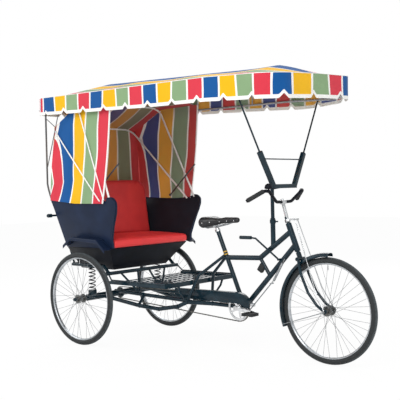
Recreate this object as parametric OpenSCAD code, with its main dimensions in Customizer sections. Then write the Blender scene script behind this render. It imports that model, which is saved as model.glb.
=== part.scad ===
// Cycle rickshaw: a tricycle with a passenger seat between the rear wheels,
// a folding hood behind it and a long striped canopy over rider and seat.
// X runs forward, Y to the left, Z up. Points below are measured from the
// ground under the rear axle; placed() then moves the whole vehicle so that
// its origin is on the ground under the middle of its length.

/* [Wheels] */
// Outside radius of the tyres
wheel_r = 355; // [345:1:360]
// Distance between the middle planes of the rear wheels
track = 980; // [976:2:1000]
// Distance between the rear and front axles
wheelbase = 1905; // [1900:1:1915]
// Spokes in each wheel
spoke_count = 36; // [28:4:36]

/* [Frame] */
// Diameter of the main frame tubes
frame_tube_d = 36; // [32:1:38]
// Diameter of the lower frame tubes and beams
lower_tube_d = 30; // [26:1:32]
// Crank length, pivot to pedal pin
crank_len = 170; // [160:5:175]

/* [Seat] */
// Thickness of the seat cushion
cushion_t = 60; // [50:5:70]
// Thickness of the back cushion
back_cushion_t = 70; // [60:5:75]
// Outward lean of the side panels
panel_lean = 7.4; // [6:0.1:8]

/* [Canopy] */
// Half the width of the canopy
canopy_half_w = 500; // [490:1:505]
// Rear end of the canopy behind the rear axle
canopy_rear = 455; // [440:5:470]
// Front end of the canopy ahead of the rear axle
canopy_front = 1865; // [1830:5:1880]
// Height of the valance at the middle of the sides
valance_h = 158; // [140:1:165]

/* [Hidden] */

round_fn = 48;
paint = "#1f3340";
panel_navy = "#22304a";
shiny = "#c8ccd0";
black = "#1a1a1c";
seat_red = "#d83030";
stripe_blue = "#00569b";
stripe_red = "#dc3a4c";

origin_x = (wheelbase + wheel_r - canopy_rear) / 2;

// Wheel section
tyre_r = 22;
tyre_mid_r = wheel_r - tyre_r;
rim_r = wheel_r - 29;
rim_w = 26;
rim_deep = 20;
spoke_d = 2;
flange_r = 30;
flange_t = 5;
flange_y = 27;
spoke_split = 3;
spoke_lean = 65;
rear_pin_d = 16;
rear_hub_len = 100;
front_pin_d = 10;
front_hub_len = 84;
pin_play = 0.1;
rear_wheel_y = track / 2;

// Steering head: the axis runs from head_low to head_top
head_top = [1599, 0, 927];
head_low = [1671, 0, 739];
head_tube_d = 40;
steerer_d = 25.4;
fork_crown = head_low + (head_low - head_top) * 0.265;
stem_top = [1551, 0, 1094];

// Frame corners
top_tube_front = [1610, 0, 867];
top_tube_bend = [1356, 0, 682];
seat_tube_mid = [1046, 0, 673];
seat_tube_top = [977, 0, 864];
down_tube_front = [1645, 0, 775];
down_tube_bend = [1247, 0, 361];
crank_axis = [1205, 0, 328];
crank_shell_d = 44;
crank_shell_len = 76;
crank_axle_d = 17;
strut_low = [1436, 0, 562];

// Lower frame, right side mirrored to the left
stay_points = [[1046, -16, 688], [852, -84, 538], [785, -143, 350]];
sweep_points = [
  [0, -262, 352], [370, -222, 296], [551, -200, 282],
  [715, -168, 310], [785, -143, 345], [960, -64, 338], [1190, -24, 329]
];
beam_rear = [0, -125, 375];
beam_front = [800, -131, 352];
link_low = [360, -222, 300];
link_high = [330, -125, 370];

// Rear axle
axle_z = wheel_r;
axle_beam_d = 50;
axle_beam_half = 424;
spring_y = 367;
spring_low = 410;
spring_high = 585;
spring_r = 24;
spring_wire = 8;
spring_turns = 5;
spring_cup_d = 66;
spring_cup_t = 6;
sprocket_r = 40;
chain_y = -66;

// Body frame and foot rack
rack_half = 400;
rack_rear = 195;
rack_front = 810;
rack_z = 480;
rack_rail_z = 502;
cross_tube_z = 545;
body_rail_z = 600;
body_rear_x = -225;

// Carriage body
panel_t = 14;
panel_low_half = 438;
panel_low_z = 745;
seat_base_z = 743;
base_half = 432;
base_low_half = 292;
base_low_z = 566;
base_front = 285;
base_low_front = 172;
base_wall = 12;
cushion_front = 325;
cushion_rear = -100;
cushion_half = 420;
back_half = 424;
back_low_z = 812;
back_top_z = 1280;
back_lean = 7;
back_front = -104;

// Canopy outline as [x, height of the eave]
EAVE = [
  [-canopy_rear, 1925], [100, 1919], [807, 1914], [1309, 1909], [1600, 1900], [canopy_front, 1885]
];
ridge_rear = [-110, 2049];
ridge_front = [1559, 2003];
cloth_t = 3;
rail_half = 486;
rail_drop = 96;
rail_d = 16;
bow_d = 12;
bow_t = 8;
bow_w = 24;
fork_x = 1570;

function eave_z(x) = lookup(x, EAVE);
function ridge_z(x) =
  x < ridge_rear[0] ? lookup(x, [[-canopy_rear, eave_z(-canopy_rear)], ridge_rear])
  : lookup(x, [ridge_rear, ridge_front, [canopy_front, eave_z(canopy_front)]]);

// Hood bows, right side: foot on the panel, corner, and top height
hood_rear_foot = [262, -474, 1094];
hood_rear_corner = [-300, -417, 1675];
hood_front_foot = [340, -477, 1106];
hood_front_corner = [20, -422, 1838];
hood_tube_d = 14;
curtain_y_low = 497;
curtain_low_z = 1078;
curtain_lean = 4.2;

module placed() { translate([-origin_x, 0, 0]) children(); }
module both_sides() { children(); mirror([0, 1, 0]) children(); }
module at_wheel(x, y) { translate([x, y, wheel_r]) children(); }

// Straight bar from a to b
module rod(a, b, d, fn = round_fn) {
  v = b - a;
  len = norm(v);
  translate(a) rotate([0, acos(v[2] / len), atan2(v[1], v[0])]) cylinder(h = len, d = d, $fn = fn);
}

// Bars through a row of points, with a ball at each bend, larger than the bar by the factor ball
module bent_tube(points, d, ball = 1.02) {
  for (i = [0 : len(points) - 2]) rod(points[i], points[i + 1], d);
  for (i = [1 : len(points) - 2]) translate(points[i]) sphere(d = d * ball, $fn = round_fn);
}

// Flat strip in the XZ plane, t thick, centred on y
module side_plate(points, y, t) {
  translate([0, y + t / 2, 0]) rotate([90, 0, 0]) linear_extrude(t) polygon(points);
}

// ---- Frame ----

module front_frame() {
  color(paint) difference() {
    union() {
      rod(head_low, head_top, head_tube_d);
      bent_tube([top_tube_front, top_tube_bend, seat_tube_mid], frame_tube_d);
      bent_tube([down_tube_front, down_tube_bend, crank_axis], frame_tube_d);
      rod(crank_axis, seat_tube_top, frame_tube_d - 4);
      rod(top_tube_bend, strut_low, lower_tube_d - 4);
      translate(crank_axis) rotate([90, 0, 0])
        cylinder(h = crank_shell_len, d = crank_shell_d, center = true, $fn = round_fn);
    }
    rod(head_low - (head_top - head_low), head_top + (head_top - head_low), steerer_d + pin_play);
    translate(crank_axis) rotate([90, 0, 0])
      cylinder(h = 2 * crank_shell_len, d = crank_axle_d + pin_play, center = true, $fn = round_fn);
    seat_post_bore();
  }
}

module seat_post_bore() {
  axis = seat_tube_top - crank_axis;
  rod(crank_axis + axis * 0.7, crank_axis + axis * 1.1, 25);
}

// Swept tubes from the axle under the rack and in to the crank housing
module lower_frame() {
  color(paint) both_sides() bent_tube(sweep_points, lower_tube_d, 1.12);
}

// Straight beams between the swept tubes, each tied to the tube beside it
module centre_beams() {
  color(paint) both_sides() {
    rod(beam_rear, beam_front, lower_tube_d - 2);
    rod(link_low, link_high, lower_tube_d - 8);
  }
}

// Stays from the seat tube back and down to the front of the beams
module seat_stays() {
  color(paint) both_sides() bent_tube(stay_points, lower_tube_d - 8);
}

module rear_axle() {
  color(paint) translate([0, 0, axle_z]) rotate([90, 0, 0]) {
    cylinder(h = 2 * axle_beam_half, d = axle_beam_d, center = true, $fn = round_fn);
    cylinder(h = 2 * (rear_wheel_y + 66), d = rear_pin_d, center = true, $fn = round_fn);
    translate([0, 0, -chain_y]) cylinder(h = 3, r = sprocket_r, center = true, $fn = round_fn);
    for (end = [-1, 1]) translate([0, 0, end * (rear_wheel_y + 60)])
      cylinder(h = 8, d = 28, center = true, $fn = 6);
  }
  color(paint) both_sides() translate([0, -spring_y, axle_z])
    cylinder(h = spring_low - axle_z, d = spring_cup_d, $fn = round_fn);
}

// One coil spring as a ring of wire swept up a helix
module coil_spring(r, wire, height, turns) {
  steps = 14 * turns;
  sides = 6;
  function ring_point(i, k) =
    let (a = 360 * i * turns / steps, b = 360 * k / sides)
    [(r + wire / 2 * cos(b)) * cos(a), (r + wire / 2 * cos(b)) * sin(a),
     wire / 2 + (height - wire) * i / steps + wire / 2 * sin(b)];
  points = [for (i = [0 : steps]) for (k = [0 : sides - 1]) ring_point(i, k)];
  walls = [for (i = [0 : steps - 1]) for (k = [0 : sides - 1])
    [i * sides + k, (i + 1) * sides + k, (i + 1) * sides + (k + 1) % sides, i * sides + (k + 1) % sides]];
  low_cap = [for (k = [0 : sides - 1]) k];
  high_cap = [for (k = [0 : sides - 1]) steps * sides + sides - 1 - k];
  polyhedron(points, concat(walls, [low_cap, high_cap]), convexity = 8);
}

module suspension_springs() {
  color(black) both_sides() translate([0, -spring_y, spring_low])
    coil_spring(spring_r, spring_wire, spring_high - spring_low, spring_turns);
}

module body_frame() {
  color(paint) {
    both_sides() {
      rod([body_rear_x, -spring_y, body_rail_z], [rack_rear - 60, -spring_y, body_rail_z], 26);
      rod([rack_rear - 60, -spring_y, body_rail_z], [rack_rear, -spring_y, cross_tube_z], 26);
      translate([rack_rear - 60, -spring_y, body_rail_z]) sphere(d = 26.5, $fn = round_fn);
      translate([0, -spring_y, spring_high]) cylinder(h = 14, d = spring_cup_d, $fn = round_fn);
      rod([rack_rear, -250, cross_tube_z], [270, -131, 385], 16);
      rod([rack_rear, -60, cross_tube_z], [270, -119, 385], 16);
    }
    rod([rack_rear, -rack_half, cross_tube_z], [rack_rear, rack_half, cross_tube_z], 28);
    rod([body_rear_x, -spring_y, body_rail_z], [body_rear_x, spring_y, body_rail_z], 26);
  }
}

module foot_rack() {
  color(paint) {
    for (i = [0 : 6]) {
      x = rack_rear + 50 + i * 90;
      rod([x, -rack_half, rack_z], [x, rack_half, rack_z], 5, 16);
    }
    for (i = [-7 : 7]) rod([rack_rear + 45, i * 53, rack_z], [rack_front, i * 53, rack_z], 5, 16);
    both_sides() {
      bent_tube([[rack_rear + 14, -rack_half + 12, cross_tube_z], [rack_rear + 60, -rack_half, rack_rail_z],
        [rack_front, -rack_half, rack_rail_z]], 11);
      translate([rack_rear + 40, -rack_half - 3, rack_z - 8]) cube([rack_front - rack_rear - 40, 6, 24]);
      bent_tube([[rack_front - 8, -250, rack_z - 8], [rack_front - 14, -235, 430], [786, -152, 352]], 16);
    }
    translate([rack_front - 3, -rack_half, rack_z - 10]) cube([6, 2 * rack_half, 34]);
  }
}

// ---- Carriage body ----

// Side panel outline, x against height: straight foot, bulged front ear, dipped top edge
module panel_outline() {
  difference() {
    union() {
      polygon([[-206, 745], [326, 745], [322, 806], [352, 905], [398, 1010], [410, 1066],
        [366, 1092], [270, 1104], [100, 1096], [-60, 1100], [-330, 1112], [-300, 1030]]);
      translate([352, 1074]) circle(r = 58, $fn = round_fn);
    }
    translate([-600, 700]) square([1200, 45]);
  }
}

module side_panel(side) {
  color(panel_navy) mirror([0, side > 0 ? 0 : 1, 0])
    translate([0, panel_low_half, panel_low_z]) rotate([-panel_lean, 0, 0])
    translate([0, 0, -panel_low_z]) rotate([90, 0, 0]) linear_extrude(panel_t) panel_outline();
}
module side_panels() {
  side_panel(-1);
  side_panel(1);
}

module back_panel() {
  // From the seat base up, leaning back like the panels' rear edges
  low_half = panel_low_half - panel_t - 3;
  color(panel_navy) translate([-206, 0, panel_low_z]) rotate([0, -17, 0])
    translate([0, 0, 4]) rotate([90, 0, 90]) linear_extrude(10)
    polygon([[-low_half, 0], [low_half, 0], [low_half + 46, 375], [-low_half - 46, 375]]);
}

// Boat-shaped box under the seat: sides and front run in towards the floor
module base_solid(inset) {
  intersection() {
    translate([body_rear_x + 16 + inset, 0, 0]) rotate([90, 0, 90])
      linear_extrude(base_front - body_rear_x)
      polygon([[-base_half + inset, seat_base_z - inset], [base_half - inset, seat_base_z - inset],
        [base_low_half - inset, base_low_z + inset], [-base_low_half + inset, base_low_z + inset]]);
    translate([0, base_half + 10, 0]) rotate([90, 0, 0]) linear_extrude(2 * base_half + 20)
      polygon([[body_rear_x, seat_base_z], [base_front - inset, seat_base_z],
        [base_low_front - inset, base_low_z], [body_rear_x, base_low_z]]);
  }
}

module seat_base() {
  color(black) difference() {
    base_solid(0);
    base_solid(base_wall);
  }
}

module seat_cushion() {
  color(seat_red) translate([cushion_rear, -cushion_half, seat_base_z + 2]) {
    cube([cushion_front - cushion_rear - 12, 2 * cushion_half, cushion_t]);
    translate([cushion_front - cushion_rear - 12, 0, 12]) rotate([-90, 0, 0])
      cylinder(h = 2 * cushion_half, r = 12, $fn = round_fn);
    translate([cushion_front - cushion_rear - 12, 0, 12]) cube([12, 2 * cushion_half, cushion_t - 24]);
    translate([cushion_front - cushion_rear - 12, 0, cushion_t - 12]) rotate([-90, 0, 0])
      cylinder(h = 2 * cushion_half, r = 12, $fn = round_fn);
  }
}

module back_cushion() {
  corner_r = 105;
  h = back_top_z - back_low_z;
  color(seat_red) translate([back_front, 0, back_low_z]) rotate([0, -back_lean, 0])
    translate([-back_cushion_t, 0, 0]) rotate([90, 0, 90]) linear_extrude(back_cushion_t) {
      translate([-back_half, 0]) square([2 * back_half, h - corner_r]);
      translate([-back_half + corner_r, 0]) square([2 * (back_half - corner_r), h]);
      for (s = [-1, 1]) translate([s * (back_half - corner_r), h - corner_r])
        circle(r = corner_r, $fn = round_fn);
    }
}

module rear_mudguards() {
  // Folded plate over each rear wheel: slope, flat top, slope, and an outer lip
  top = [[-165, 762], [-80, 826], [215, 812], [305, 738]];
  color(panel_navy) both_sides() {
    difference() {
      side_plate(concat(top, [for (i = [3 : -1 : 0]) top[i] - [0, 26]]), -490, 52);
      side_plate([for (i = [0 : 3]) top[i] - [0, 4], for (i = [3 : -1 : 0]) top[i] - [0, 40]], -486, 52);
    }
    side_plate(concat(top, [for (i = [3 : -1 : 0]) top[i] - [0, 4]]), -452, 26);
  }
}

module push_handle() {
  bar_x = -330;
  bar_z = 990;
  color(paint) {
    rod([bar_x, -500, bar_z], [bar_x, 500, bar_z], 16);
    both_sides() {
      rod([bar_x, -418, bar_z], [body_rear_x - 10, -380, 720], 16);
      translate([body_rear_x - 10, -380, 720]) sphere(d = 16.4, $fn = round_fn);
      rod([body_rear_x - 10, -380, 720], [body_rear_x - 2, -352, 612], 16);
    }
  }
  color(black) both_sides() {
    rod([bar_x, -486, bar_z], [bar_x, -515, bar_z], 30);
    translate([bar_x, -515, bar_z]) sphere(d = 30.5, $fn = round_fn);
  }
}

// ---- Canopy ----

// Hipped cloth roof as a thin closed shell over the eave line
module canopy_roof() {
  half = canopy_half_w - 4;
  ends = len(EAVE) - 1;
  eave_r = [for (p = EAVE) [p[0], -half, p[1]]];
  eave_l = [for (p = EAVE) [p[0], half, p[1]]];
  ridge = [[ridge_rear[0], 0, ridge_rear[1]], [ridge_front[0], 0, ridge_front[1]]];
  outer = concat(eave_r, eave_l, ridge);
  n = len(outer);
  down = [for (p = outer) p - [0, 0, cloth_t]];
  r = 0;
  l = ends + 1;
  rr = 2 * (ends + 1);
  rf = rr + 1;
  // Stations up to split belong to the rear hip, the others to the front hip
  split = 1;
  join = 4;
  top = concat(
    [for (i = [0 : split - 1]) [r + i, r + i + 1, rr]],
    [for (i = [split : join - 1]) [r + i, r + i + 1, rf]],
    [[r + split, rf, rr]],
    [for (i = [join : ends - 1]) [r + i, r + i + 1, rf]],
    [for (i = [0 : split - 1]) [l + i + 1, l + i, rr]],
    [for (i = [split : join - 1]) [l + i + 1, l + i, rf]],
    [[l + split, rr, rf]],
    [for (i = [join : ends - 1]) [l + i + 1, l + i, rf]],
    [[l, r, rr]],
    [[r + ends, l + ends, rf]]
  );
  under = [for (f = top) [f[2] + n, f[1] + n, f[0] + n]];
  loop = concat([for (i = [0 : ends]) r + i], [for (i = [ends : -1 : 0]) l + i]);
  count = len(loop);
  rim = [for (i = [0 : count - 1]) each
    let (a = loop[i], b = loop[(i + 1) % count]) [[a + n, b, a], [a + n, b + n, b]]];
  color(stripe_blue) polyhedron(concat(outer, down),
    [for (f = concat(top, under, rim)) [f[2], f[1], f[0]]], convexity = 4);
}

module canopy_valance() {
  top = [for (p = EAVE) [p[0], p[1] - 1]];
  drop = [for (p = EAVE) [p[0], p[1] - valance_drop(p[0])]];
  color(stripe_red) {
    both_sides() side_plate(concat(top, [for (i = [len(drop) - 1 : -1 : 0]) drop[i]]),
      -canopy_half_w + cloth_t / 2, cloth_t);
    end_strip(-canopy_rear);
    end_strip(canopy_front - cloth_t);
  }
}
function valance_drop(x) = lookup(x, [[-canopy_rear, valance_h - 24], [807, valance_h], [canopy_front, valance_h]]);
module end_strip(x) {
  ref_x = x < 0 ? -canopy_rear : canopy_front;
  translate([x, -canopy_half_w + cloth_t / 2, eave_z(ref_x) - valance_drop(ref_x)])
    cube([cloth_t, 2 * canopy_half_w - cloth_t, valance_drop(ref_x) - 4]);
}

// Square rails under the eaves, flat bows across them up to the ridge, and square end bars
rail_rear_x = -canopy_rear + 14;
rail_bend_x = 1309;
rail_front_x = canopy_front - 14;
bow_x = [340, 960, fork_x];
function rail_z(x) = lookup(x, [for (k = [rail_rear_x, rail_bend_x, rail_front_x]) [k, eave_z(k) - rail_drop]]);
module canopy_frame() {
  rail_top = [for (k = [rail_rear_x, rail_bend_x, rail_front_x]) [k, rail_z(k) + rail_d / 2]];
  bow_half = rail_half - rail_d / 2 + 2;
  roof_gap = 16;
  color(shiny) {
    both_sides() side_plate(concat(rail_top, [for (i = [2 : -1 : 0]) rail_top[i] - [0, rail_d]]),
      -rail_half, rail_d);
    for (x = bow_x) {
      eave = eave_z(x) - roof_gap;
      ridge = ridge_z(x) - roof_gap;
      inner = bow_half - bow_t;
      arch = [[-bow_half, rail_z(x)], [-bow_half, eave], [0, ridge], [bow_half, eave], [bow_half, rail_z(x)]];
      under = [[inner, rail_z(x)], [inner, eave - bow_t], [0, ridge - bow_t], [-inner, eave - bow_t],
        [-inner, rail_z(x)]];
      translate([x - bow_w / 2, 0, 0]) rotate([90, 0, 90]) linear_extrude(bow_w) polygon(concat(arch, under));
    }
    for (x = [rail_rear_x, rail_front_x]) {
      translate([x - bow_d / 2, -rail_half, rail_z(x) - bow_d / 2]) cube([bow_d, 2 * rail_half, bow_d]);
      both_sides() translate([x - bow_d / 2, -rail_half - bow_d / 2, rail_z(x)])
        cube([bow_d, bow_d, rail_drop - 8]);
    }
  }
}

module rear_posts() {
  post = [-372, -482];
  color(shiny) both_sides() {
    bent_tube([[-322, -477, 1090], [-352, -486, 1190], [post[0], post[1], 1240], [post[0], post[1], 1816]], 14);
    rod([post[0] + 6, post[1], 1372], [-205, post[1], 1815], 7, 24);
    rod([post[0] + 4, post[1], 1760], [-290, -425, 1668], 5, 24);
  }
}

mast_x = 1470;
module canopy_mast() {
  color(paint) {
    translate([mast_x, 0, 772]) cylinder(h = 191, d = 34, $fn = round_fn);
    translate([mast_x, 0, 772]) cylinder(h = 408, d = 26, $fn = round_fn);
    translate([mast_x, 0, 926]) cylinder(h = 26, d = 42, $fn = round_fn);
    rod([mast_x, 0, 1170], [fork_x - 14, 0, 1182], 24);
    rod([mast_x, 0, 939], [mast_x + 42, 0, 939], 10, 24);
  }
}

// Square tube from a to b
module square_bar(a, b, w) {
  v = b - a;
  len = norm(v);
  translate(a) rotate([0, acos(v[2] / len), atan2(v[1], v[0])])
    translate([-w / 2, -w / 2, 0]) cube([w, w, len]);
}

module canopy_fork() {
  low = [fork_x, -123, 1182];
  high = [fork_x - 9, -261, 1412];
  bar = [fork_x - 5, -216, 1337];
  rail_x = fork_x - 22;
  color(paint) {
    translate([fork_x - 14, -136, 1168]) cube([28, 272, 28]);
    both_sides() square_bar(low, high, 28);
  }
  color(shiny) {
    rod([bar[0], -232, 1366], [bar[0], 232, 1366], 9, 24);
    both_sides() rod([fork_x - 8, -258, 1405], [rail_x, -rail_half, rail_z(rail_x) - 4], 12);
  }
}

// ---- Hood ----

module hood_bow(foot, corner) {
  inner = [corner[0], corner[1] + 90, corner[2] + 24];
  both_sides() bent_tube([foot, corner, inner, [inner[0], 0, inner[2]]], hood_tube_d);
  translate([inner[0], 0, inner[2]]) sphere(d = hood_tube_d * 1.02, $fn = round_fn);
}
module hood_bows() {
  color(shiny) {
    hood_bow(hood_rear_foot, hood_rear_corner);
    hood_bow(hood_front_foot, hood_front_corner);
  }
}

// Hood top over the bows and the hanging back
module hood_cover() {
  bow_lift = 24 + hood_tube_d / 2 + 2;
  rear_top = [hood_rear_corner[0], hood_rear_corner[2] + bow_lift];
  front_top = [hood_front_corner[0], hood_front_corner[2] + bow_lift];
  half = 412;
  color(stripe_red) {
    side_plate([rear_top, front_top, [380, 1876], [380, 1876 + cloth_t], front_top + [0, cloth_t],
      rear_top + [-10, cloth_t]], 0, 2 * half);
    translate([hood_rear_corner[0] - 13, -half, 1166]) cube([cloth_t, 2 * half, rear_top[1] - 1166]);
  }
}

// Curtain outline at one side, x against height above its foot
module curtain(side) {
  h = function (z) z - curtain_low_z;
  color(stripe_blue) mirror([0, side > 0 ? 0 : 1, 0])
    translate([0, curtain_y_low, curtain_low_z]) rotate([curtain_lean, 0, 0])
    rotate([90, 0, 0]) linear_extrude(cloth_t)
    polygon([[-322, h(1114)], [-40, h(1080)], [284, h(1078)], [340, h(1405)], [388, h(1866)],
      [24, h(1862)], [-296, h(1690)]]);
}
module side_curtains() {
  curtain(-1);
  curtain(1);
}

// ---- Rider's seat, drive and brakes ----

module saddle() {
  color(black) {
    hull() {
      both_sides() translate([892, -58, 928]) sphere(r = 42, $fn = 24);
      translate([1000, 0, 942]) sphere(r = 26, $fn = 24);
    }
    hull() {
      translate([1000, 0, 942]) sphere(r = 26, $fn = 24);
      translate([1158, 0, 946]) sphere(r = 21, $fn = 24);
    }
  }
}

module seat_post() {
  axis = (seat_tube_top - crank_axis) / norm(seat_tube_top - crank_axis);
  color(shiny) {
    rod(seat_tube_top - axis * 120, [962, 0, 902], 24.9);
    rod([962, -28, 898], [962, 28, 898], 22);
    both_sides() rod([905, -20, 896], [1040, -20, 914], 8, 24);
  }
  color(paint) difference() {
    rod(seat_tube_top - axis * 6, seat_tube_top + axis * 14, 40);
    rod(seat_tube_top - axis * 30, seat_tube_top + axis * 30, 32);
  }
}

chain_ring_r = 91;
chain_gap = 1.2;
chain_h = 8;
chain_w = 8;

// Band between two radii of the chain loop's outline, in the XZ plane
module chain_outline(extra) {
  hull() {
    translate([crank_axis[0], crank_axis[2]]) circle(r = chain_ring_r + extra, $fn = 64);
    translate([0, axle_z]) circle(r = sprocket_r + extra, $fn = 48);
  }
}
module chain() {
  color(shiny) translate([0, chain_y + chain_w / 2, 0]) rotate([90, 0, 0]) linear_extrude(chain_w)
    difference() {
      chain_outline(chain_gap + chain_h);
      chain_outline(chain_gap);
    }
}

// Cover over the upper chain run and the top of the chainring, open behind and below
module case_outline(extra) {
  r = chain_ring_r + chain_gap + chain_h + 6 + extra;
  polygon(concat([[610 - extra, 362 - extra], [610 - extra, 428 + extra], [crank_axis[0] - 20, crank_axis[2] + r]],
    [for (a = [90 : -15 : 0]) [crank_axis[0] + r * cos(a), crank_axis[2] + r * sin(a)]],
    [[crank_axis[0], 362 - extra]]));
}
module chain_case() {
  outer_y = chain_y - 18;
  color(paint) difference() {
    translate([0, outer_y + 36, 0]) rotate([90, 0, 0]) linear_extrude(36) case_outline(3);
    translate([0, outer_y + 40, 0]) rotate([90, 0, 0]) linear_extrude(37) case_outline(0);
    translate([0, outer_y + 40, 0]) rotate([90, 0, 0]) linear_extrude(37)
      polygon([[600, 300], [600, 427], [612, 427], [612, 363], [crank_axis[0] + 112, 363], [crank_axis[0] + 112, 300]]);
  }
}

module hand_brake() {
  y = -34;
  color(paint) bent_tube([[1296, y, 825], [1342, y, 821], [1535, y, 681]], 13);
  color(paint) rod([1535, y - 8, 681], [1535, -12, 681], 16);
  color(black) rod([1208, y, 825], [1304, y, 825], 26);
}

module brake_rods() {
  y = -38;
  color(shiny) {
    rod([1570, y, 659], [1494, y, 534], 17);
    rod([1500, y, 544], [1468, y, 508], 7, 24);
    for (dy = [-4, 6]) rod([1470, y + dy, 512], [1262, y + dy, 294], 4, 24);
    rod([1468, y - 8, 512], [1468, -6, 512], 9, 24);
    rod([1570, y, 659], [1570, -6, 692], 8, 24);
    rod([1264, y - 6, 296], [1250, -20, 316], 9, 24);
  }
}

// ---- Steering ----

fork_leg = [
  [1700, -44, 690], [1722, -46, 592], [1778, -50, 471], [1846, -56, 394], [wheelbase, -60, wheel_r]
];

module steering_fork() {
  color(paint) {
    rod(head_low + (head_low - head_top) * 0.04, fork_crown, 34);
    rod(fork_crown, head_top + (head_top - head_low) * 0.24, steerer_d);
    rod([fork_crown[0], -44, fork_crown[2]], [fork_crown[0], 44, fork_crown[2]], 26);
    both_sides() bent_tube(fork_leg, 19);
    both_sides() translate([wheelbase, -57, wheel_r]) rotate([90, 0, 0])
      cylinder(h = 6, d = 34, $fn = round_fn);
  }
}

module front_axle() {
  color(shiny) at_wheel(wheelbase, 0) rotate([90, 0, 0]) {
    cylinder(h = 156, d = front_pin_d, center = true, $fn = round_fn);
    for (s = [-1, 1]) translate([0, 0, s * 72]) cylinder(h = 8, d = 20, center = true, $fn = 6);
  }
}

module handlebar() {
  clamp = [1558, 0, 1073];
  color(shiny) {
    rod(head_top + (head_top - head_low) * 0.03, stem_top, 22);
    translate(head_top + (head_top - head_low) * 0.03)
      rotate([0, -21, 0]) cylinder(h = 24, d = 38, $fn = round_fn);
    rod([clamp[0], -22, clamp[2]], [clamp[0], 22, clamp[2]], 34);
  }
  color(black) both_sides()
    bent_tube([clamp, [1566, -88, 1076], [1584, -196, 1150], [1566, -226, 1153], [1470, -299, 1086]], 22);
}

module grips() {
  color(black) both_sides() rod([1560, -230.5, 1149], [1464, -303, 1082], 31);
}

module bell() {
  color(black) {
    translate([1572, -186, 1176]) sphere(r = 27, $fn = round_fn);
    rod([1572, -186, 1176], [1578, -180, 1141], 14);
  }
}

module front_mudguard() {
  guard_r = wheel_r + 26;
  color(panel_navy) {
    at_wheel(wheelbase, 0) rotate([90, 0, 0]) rotate([0, 0, 87]) rotate_extrude(angle = 114, $fn = 96)
      translate([guard_r, -31]) square([3, 62]);
  }
  color(shiny) both_sides() {
    rod([1552, -30, 237], [wheelbase - 6, -69, wheel_r - 4], 5, 24);
  }
}

module truss_rods() {
  color(shiny) {
    both_sides() {
      bent_tube([[1664, -14, 956], [1826, -47, 502], [wheelbase, -66, wheel_r + 6]], 7);
    }
    rod([1664, -22, 956], [1664, 22, 956], 14);
    rod([1664, 0, 956], [1594, 0, 956], 12);
  }
}

// ---- Wheels ----

// Ring turned about the Y axis, its section given as radius and side offset
module turned(fn = 96) { rotate([90, 0, 0]) rotate_extrude($fn = fn) children(); }

module tyre() {
  color(black) difference() {
    turned() translate([tyre_mid_r, 0]) circle(r = tyre_r, $fn = round_fn);
    rotate([90, 0, 0]) cylinder(h = rim_w, r = rim_r, center = true, $fn = 96);
  }
}
module rim() {
  low = rim_r - rim_deep;
  color(shiny) turned() polygon([[low, -8], [low, 8], [low + 5, rim_w / 2], [rim_r, rim_w / 2],
    [rim_r, -rim_w / 2], [low + 5, -rim_w / 2]]);
}

module hub_spokes(hub_len, pin_d) {
  hub_r = flange_r - 4;
  color(shiny) difference() {
    union() {
      rotate([90, 0, 0]) {
        cylinder(h = hub_len, d = pin_d + 16, center = true, $fn = round_fn);
        cylinder(h = 2 * flange_y, d = 36, center = true, $fn = round_fn);
        for (s = [-1, 1]) translate([0, 0, s * flange_y])
          cylinder(h = flange_t, r = flange_r, center = true, $fn = round_fn);
      }
      // Each spoke by its number: side of the hub, and which way it leans
      for (i = [0 : spoke_count - 1]) {
        side = i % 2 == 0 ? 1 : -1;
        lean = floor(i / 2) % 2 == 0 ? 1 : -1;
        rim_a = 360 * i / spoke_count;
        hub_a = rim_a + lean * spoke_lean;
        rod([hub_r * cos(hub_a), side * flange_y + lean * spoke_split, hub_r * sin(hub_a)],
          [(rim_r - rim_deep + 1) * cos(rim_a), side * 3, (rim_r - rim_deep + 1) * sin(rim_a)], spoke_d, 16);
      }
    }
    rotate([90, 0, 0]) cylinder(h = hub_len + 2, d = pin_d + pin_play, center = true, $fn = round_fn);
  }
}

module front_tyre() { at_wheel(wheelbase, 0) tyre(); }
module front_rim() { at_wheel(wheelbase, 0) rim(); }
module front_hub_spokes() { at_wheel(wheelbase, 0) hub_spokes(front_hub_len, front_pin_d); }
module right_tyre() { at_wheel(0, -rear_wheel_y) tyre(); }
module right_rim() { at_wheel(0, -rear_wheel_y) rim(); }
module right_hub_spokes() { at_wheel(0, -rear_wheel_y) hub_spokes(rear_hub_len, rear_pin_d); }
module left_tyre() { at_wheel(0, rear_wheel_y) tyre(); }
module left_rim() { at_wheel(0, rear_wheel_y) rim(); }
module left_hub_spokes() { at_wheel(0, rear_wheel_y) hub_spokes(rear_hub_len, rear_pin_d); }

// ---- Cranks ----

crank_turn = 7;
arm_y = 103;
arm_t = 14;

module crank_arm(side) {
  translate([0, side * arm_y, 0]) rotate([90, 0, 0]) {
    cylinder(h = arm_t, d = 34, center = true, $fn = round_fn);
    translate([0, -11, 1 - arm_t / 2]) cube([crank_len, 22, arm_t - 2]);
    translate([crank_len, 0, 0]) cylinder(h = arm_t, d = 26, center = true, $fn = round_fn);
  }
}
module crank_set() {
  color(shiny) translate(crank_axis) rotate([0, crank_turn, 0]) {
    rotate([90, 0, 0]) cylinder(h = 2 * arm_y, d = crank_axle_d, center = true, $fn = round_fn);
    crank_arm(-1);
    rotate([0, 180, 0]) crank_arm(1);
    translate([0, chain_y, 0]) rotate([90, 0, 0]) {
      difference() {
        cylinder(h = 4, r = chain_ring_r, center = true, $fn = 96);
        cylinder(h = 5, r = chain_ring_r - 16, center = true, $fn = 96);
      }
      for (a = [0 : 72 : 288]) rotate([0, 0, a]) translate([0, -7, -1]) cube([chain_ring_r - 9, 14, 2]);
      cylinder(h = 12, d = 40, center = true, $fn = round_fn);
    }
  }
}

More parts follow.
